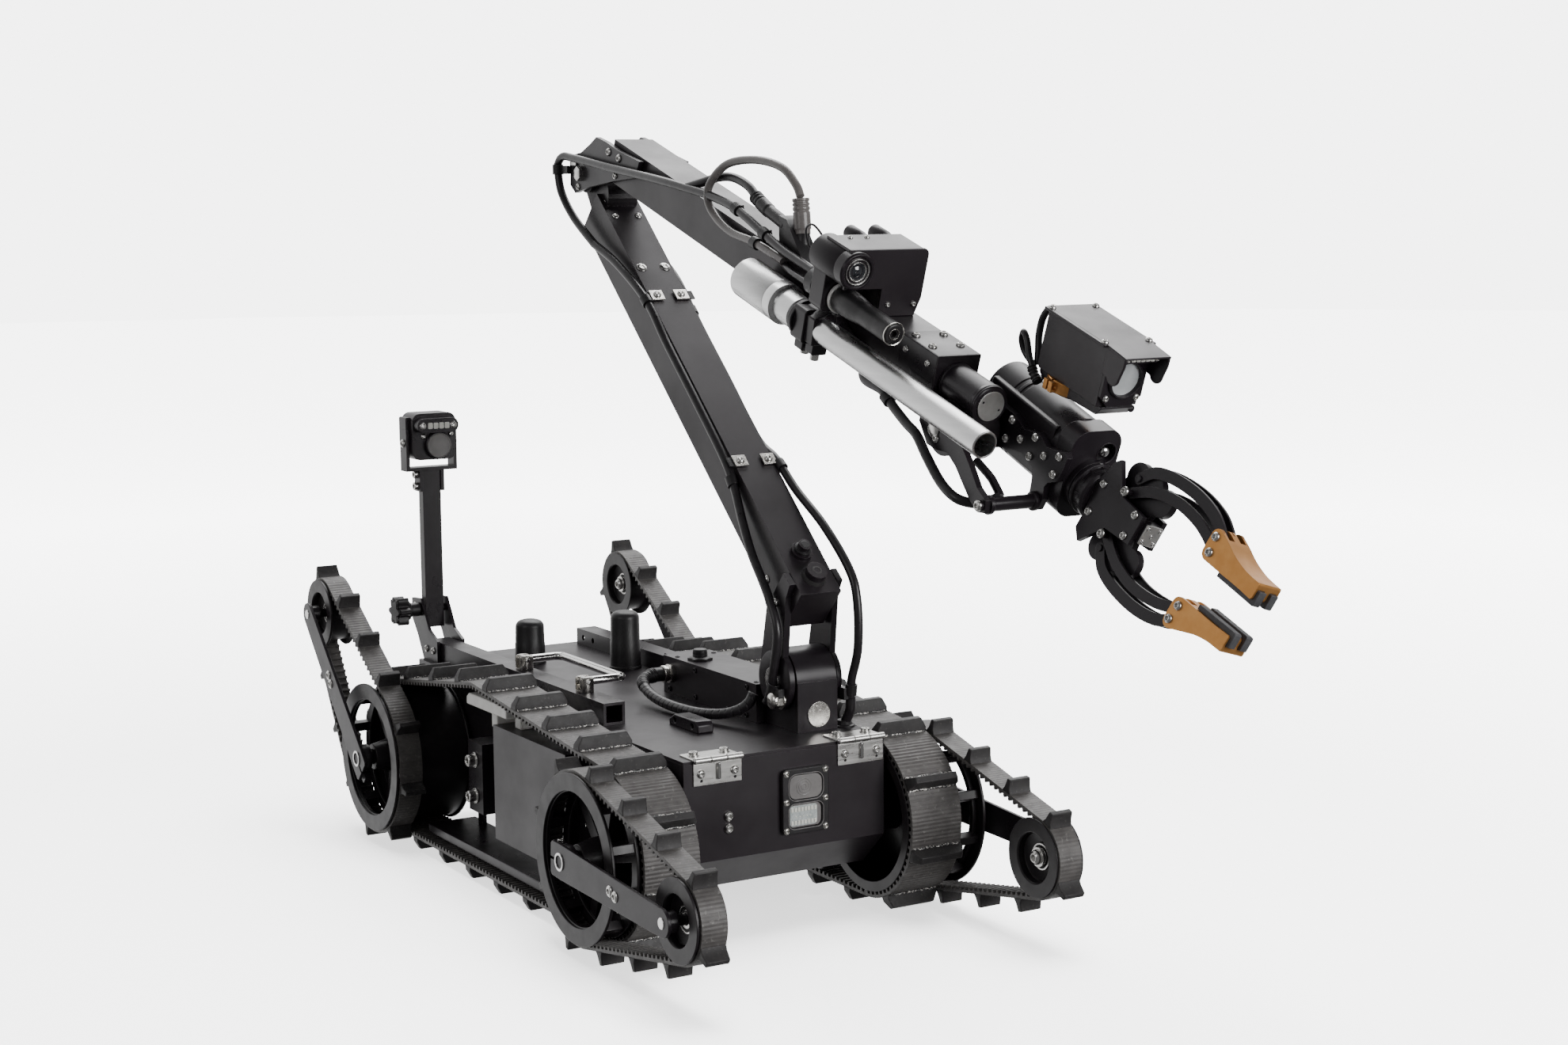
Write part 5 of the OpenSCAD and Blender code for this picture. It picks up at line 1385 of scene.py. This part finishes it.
def drive_wheel(end, side_letter, s):
    """An open wheel: belt drum, cage under the flipper belt, flange ring, spokes and hub."""
    x = HALF_BASE if end == "f" else -HALF_BASE
    part = Part(placed((x, 0, AXLE_Z)))
    for r0, r1, a, b in ((69, 75.6, 119.5, 177), (68, 78.5, 117.2, 119.5), (66, 77.6, 176.6, 180),
                         (65, 82, 204.4, 207.4), (64, 70, 200, 204.6)):
        part.lathe([(s * a, r0), (s * b, r0), (s * b, r1), (s * a, r1)], axis="Y", seg=96)
    spokes(part, 10, 66.5, 75.6, 5.5, s * 179, s * 205, 18)
    part.lathe([(s * 150, 16), (s * 158, 16), (s * 166, 69.5), (s * 159, 69.5)], axis="Y", seg=72)
    spokes(part, 6, 14, 69, 7.5, s * 160, s * 178, 12)
    part.lathe([(s * 114, 8.4), (s * 203, 8.4), (s * 203, 14), (s * 186, 18), (s * 160, 20), (s * 114, 17)],
               axis="Y", seg=48)
    wheel = f"wheel_{end}{side_letter}"
    part.make(wheel + "_casting", WHEEL, wheel, bevel=0.6, replaces=(f"drive_{wheel}",))
    pins = Part(placed((x, 0, AXLE_Z)))
    for k in range(6):
        a = math.radians(42 + 60 * k)
        pins.head((54 * math.cos(a), s * 164.5, 54 * math.sin(a)), (0, s, 0), 4.6, 3.2)
    pins.make(wheel + "_screws", STEEL, wheel)


def tip_wheel(end, side_letter, s):
    """A flipper's small wheel with its bearing."""
    local = FLIPPERS["front" if end == "f" else "rear"] @ Matrix.Translation((FLIPPER_LEN, 0, 0))
    part = Part(local)
    profile = [(176.7, 25), (176.7, 38.6), (178.2, 38.6), (179, 32), (204.4, 32), (204.6, 38.6),
               (207.4, 38.6), (207.4, 24.5), (205.6, 23.5), (199, 23.5), (195.5, 14), (195.5, 5.2),
               (188, 5.2), (188, 14), (184.6, 23.5), (178, 24)]
    part.lathe([(s * t, r) for t, r in profile], axis="Y", seg=64)
    body = "tip_" + end + side_letter
    part.make(body + "_wheel", WHEEL, body, bevel=0.4, replaces=(f"tip_wheel_{end}{side_letter}",))
    race = Part(local)
    for a, b in ((197.5, 195.4), (186.0, 188.1)):
        race.lathe([(s * a, 5.4), (s * a, 8.6), (s * b, 8.8), (s * b, 5.4)], axis="Y", seg=36)
        race.lathe([(s * a, 11.2), (s * a, 13.2), (s * b, 13.6), (s * b, 11.2)], axis="Y", seg=36)
    race.make(body + "_bearing", STEEL, body, bevel=0.3)
    balls = Part(local)
    for a in (196.4, 187.2):
        balls.lathe([(s * (a + 0.7), 8.6), (s * (a + 0.7), 11.3), (s * (a - 0.7), 11.3),
                     (s * (a - 0.7), 8.6)], axis="Y", seg=36)
    balls.make(body + "_shield", DEEP, body)


def flipper(which):
    """Both bars of a pair of flippers, with their bushings and bolts."""
    local, body = FLIPPERS[which], which + "_flippers"
    bars, chrome, bolts = Part(local), Part(local), Part(local)
    bars.lathe([(-217, 0), (-217, 8), (217, 8), (217, 0)], axis="Y", seg=40)
    for s in (-1, 1):
        outline = ([(-19, -1.4), (-19, -14), (-16.5, -16.5), (0, -17)] + arc(FLIPPER_LEN, 0, 13, -88, 88, 14)
                   + [(0, 17), (-16.5, 16.5), (-19, 14), (-19, 1.4), (-9.6, 1.4), (-9.6, -1.4)])
        bars.prism(outline, *span(s, *BAR_Y))
        bars.lathe([(s * 208.5, 0), (s * 208.5, 15), (s * 213, 15), (s * 218.2, 12.5), (s * 218.2, 0)],
                   axis="Y", seg=48)
        bars.prism(rounded(-24, 5, -8, 15, 2), *span(s, 209, 217))
        bars.lathe([(s * 208.6, 0), (s * 208.6, 10), (s * 218.1, 8.5), (s * 218.1, 0)], (FLIPPER_LEN, 0, 0),
                   "Y", 40)
        bars.rod((FLIPPER_LEN, 0, 0), 4.9, *span(s, 181, 218))
        chrome.lathe([(s * 219, 6.4), (s * 219, 9.2), (s * 222.6, 8.8), (s * 222.8, 8.0), (s * 222.6, 6.4)],
                     axis="Y", seg=40)
        chrome.rod((FLIPPER_LEN, 0, 0), 5.4, *span(s, 218, 222.4), seg=36)
        for x, z in ((103, 1.0), (113.4, -1.4)):
            bolts.head((x, s * BAR_Y[1], z), (0, s, 0), 5.4, 2.0)
        bolts.head((FLIPPER_LEN, s * 181.5, 0), (0, -s, 0), 7.2, 4.4)
        bolts.lathe([(s * 184, 5.4), (s * 184, 9.6), (s * 182.2, 9.6), (s * 182.2, 5.4)],
                    (FLIPPER_LEN, 0, 0), "Y", 32)
        bolts.head((-14, s * 213, 15), (0, 0, 1), 3.2, 2.4, "cap")
    bars.make(which + "_flipper_bars", ANODISED, body, bevel=0.5, replaces=(which + "_flipper_arms",))
    chrome.make(which + "_flipper_bushings", CHROME, body, bevel=0.2)
    bolts.make(which + "_flipper_bolts", STEEL, body)


for letter, word, s in (("r", "right", -1), ("l", "left", 1)):
    belt(f"main_belt_{word}", main_loop(), *span(s, *MAIN_BELT_Y), 22, WORLD, "hull", f"main_track_{word}",
         0.45, False)
    for end in "fr":
        drive_wheel(end, letter, s)
        tip_wheel(end, letter, s)
for which in ("front", "rear"):
    flipper(which)
    for word, s in (("right", -1), ("left", 1)):
        belt(f"{which}_belt_{word}", flipper_loop(), *span(s, *FLIPPER_BELT_Y), 12, FLIPPERS[which],
             which + "_flippers", which + "_flipper_tracks", 0.25, True)
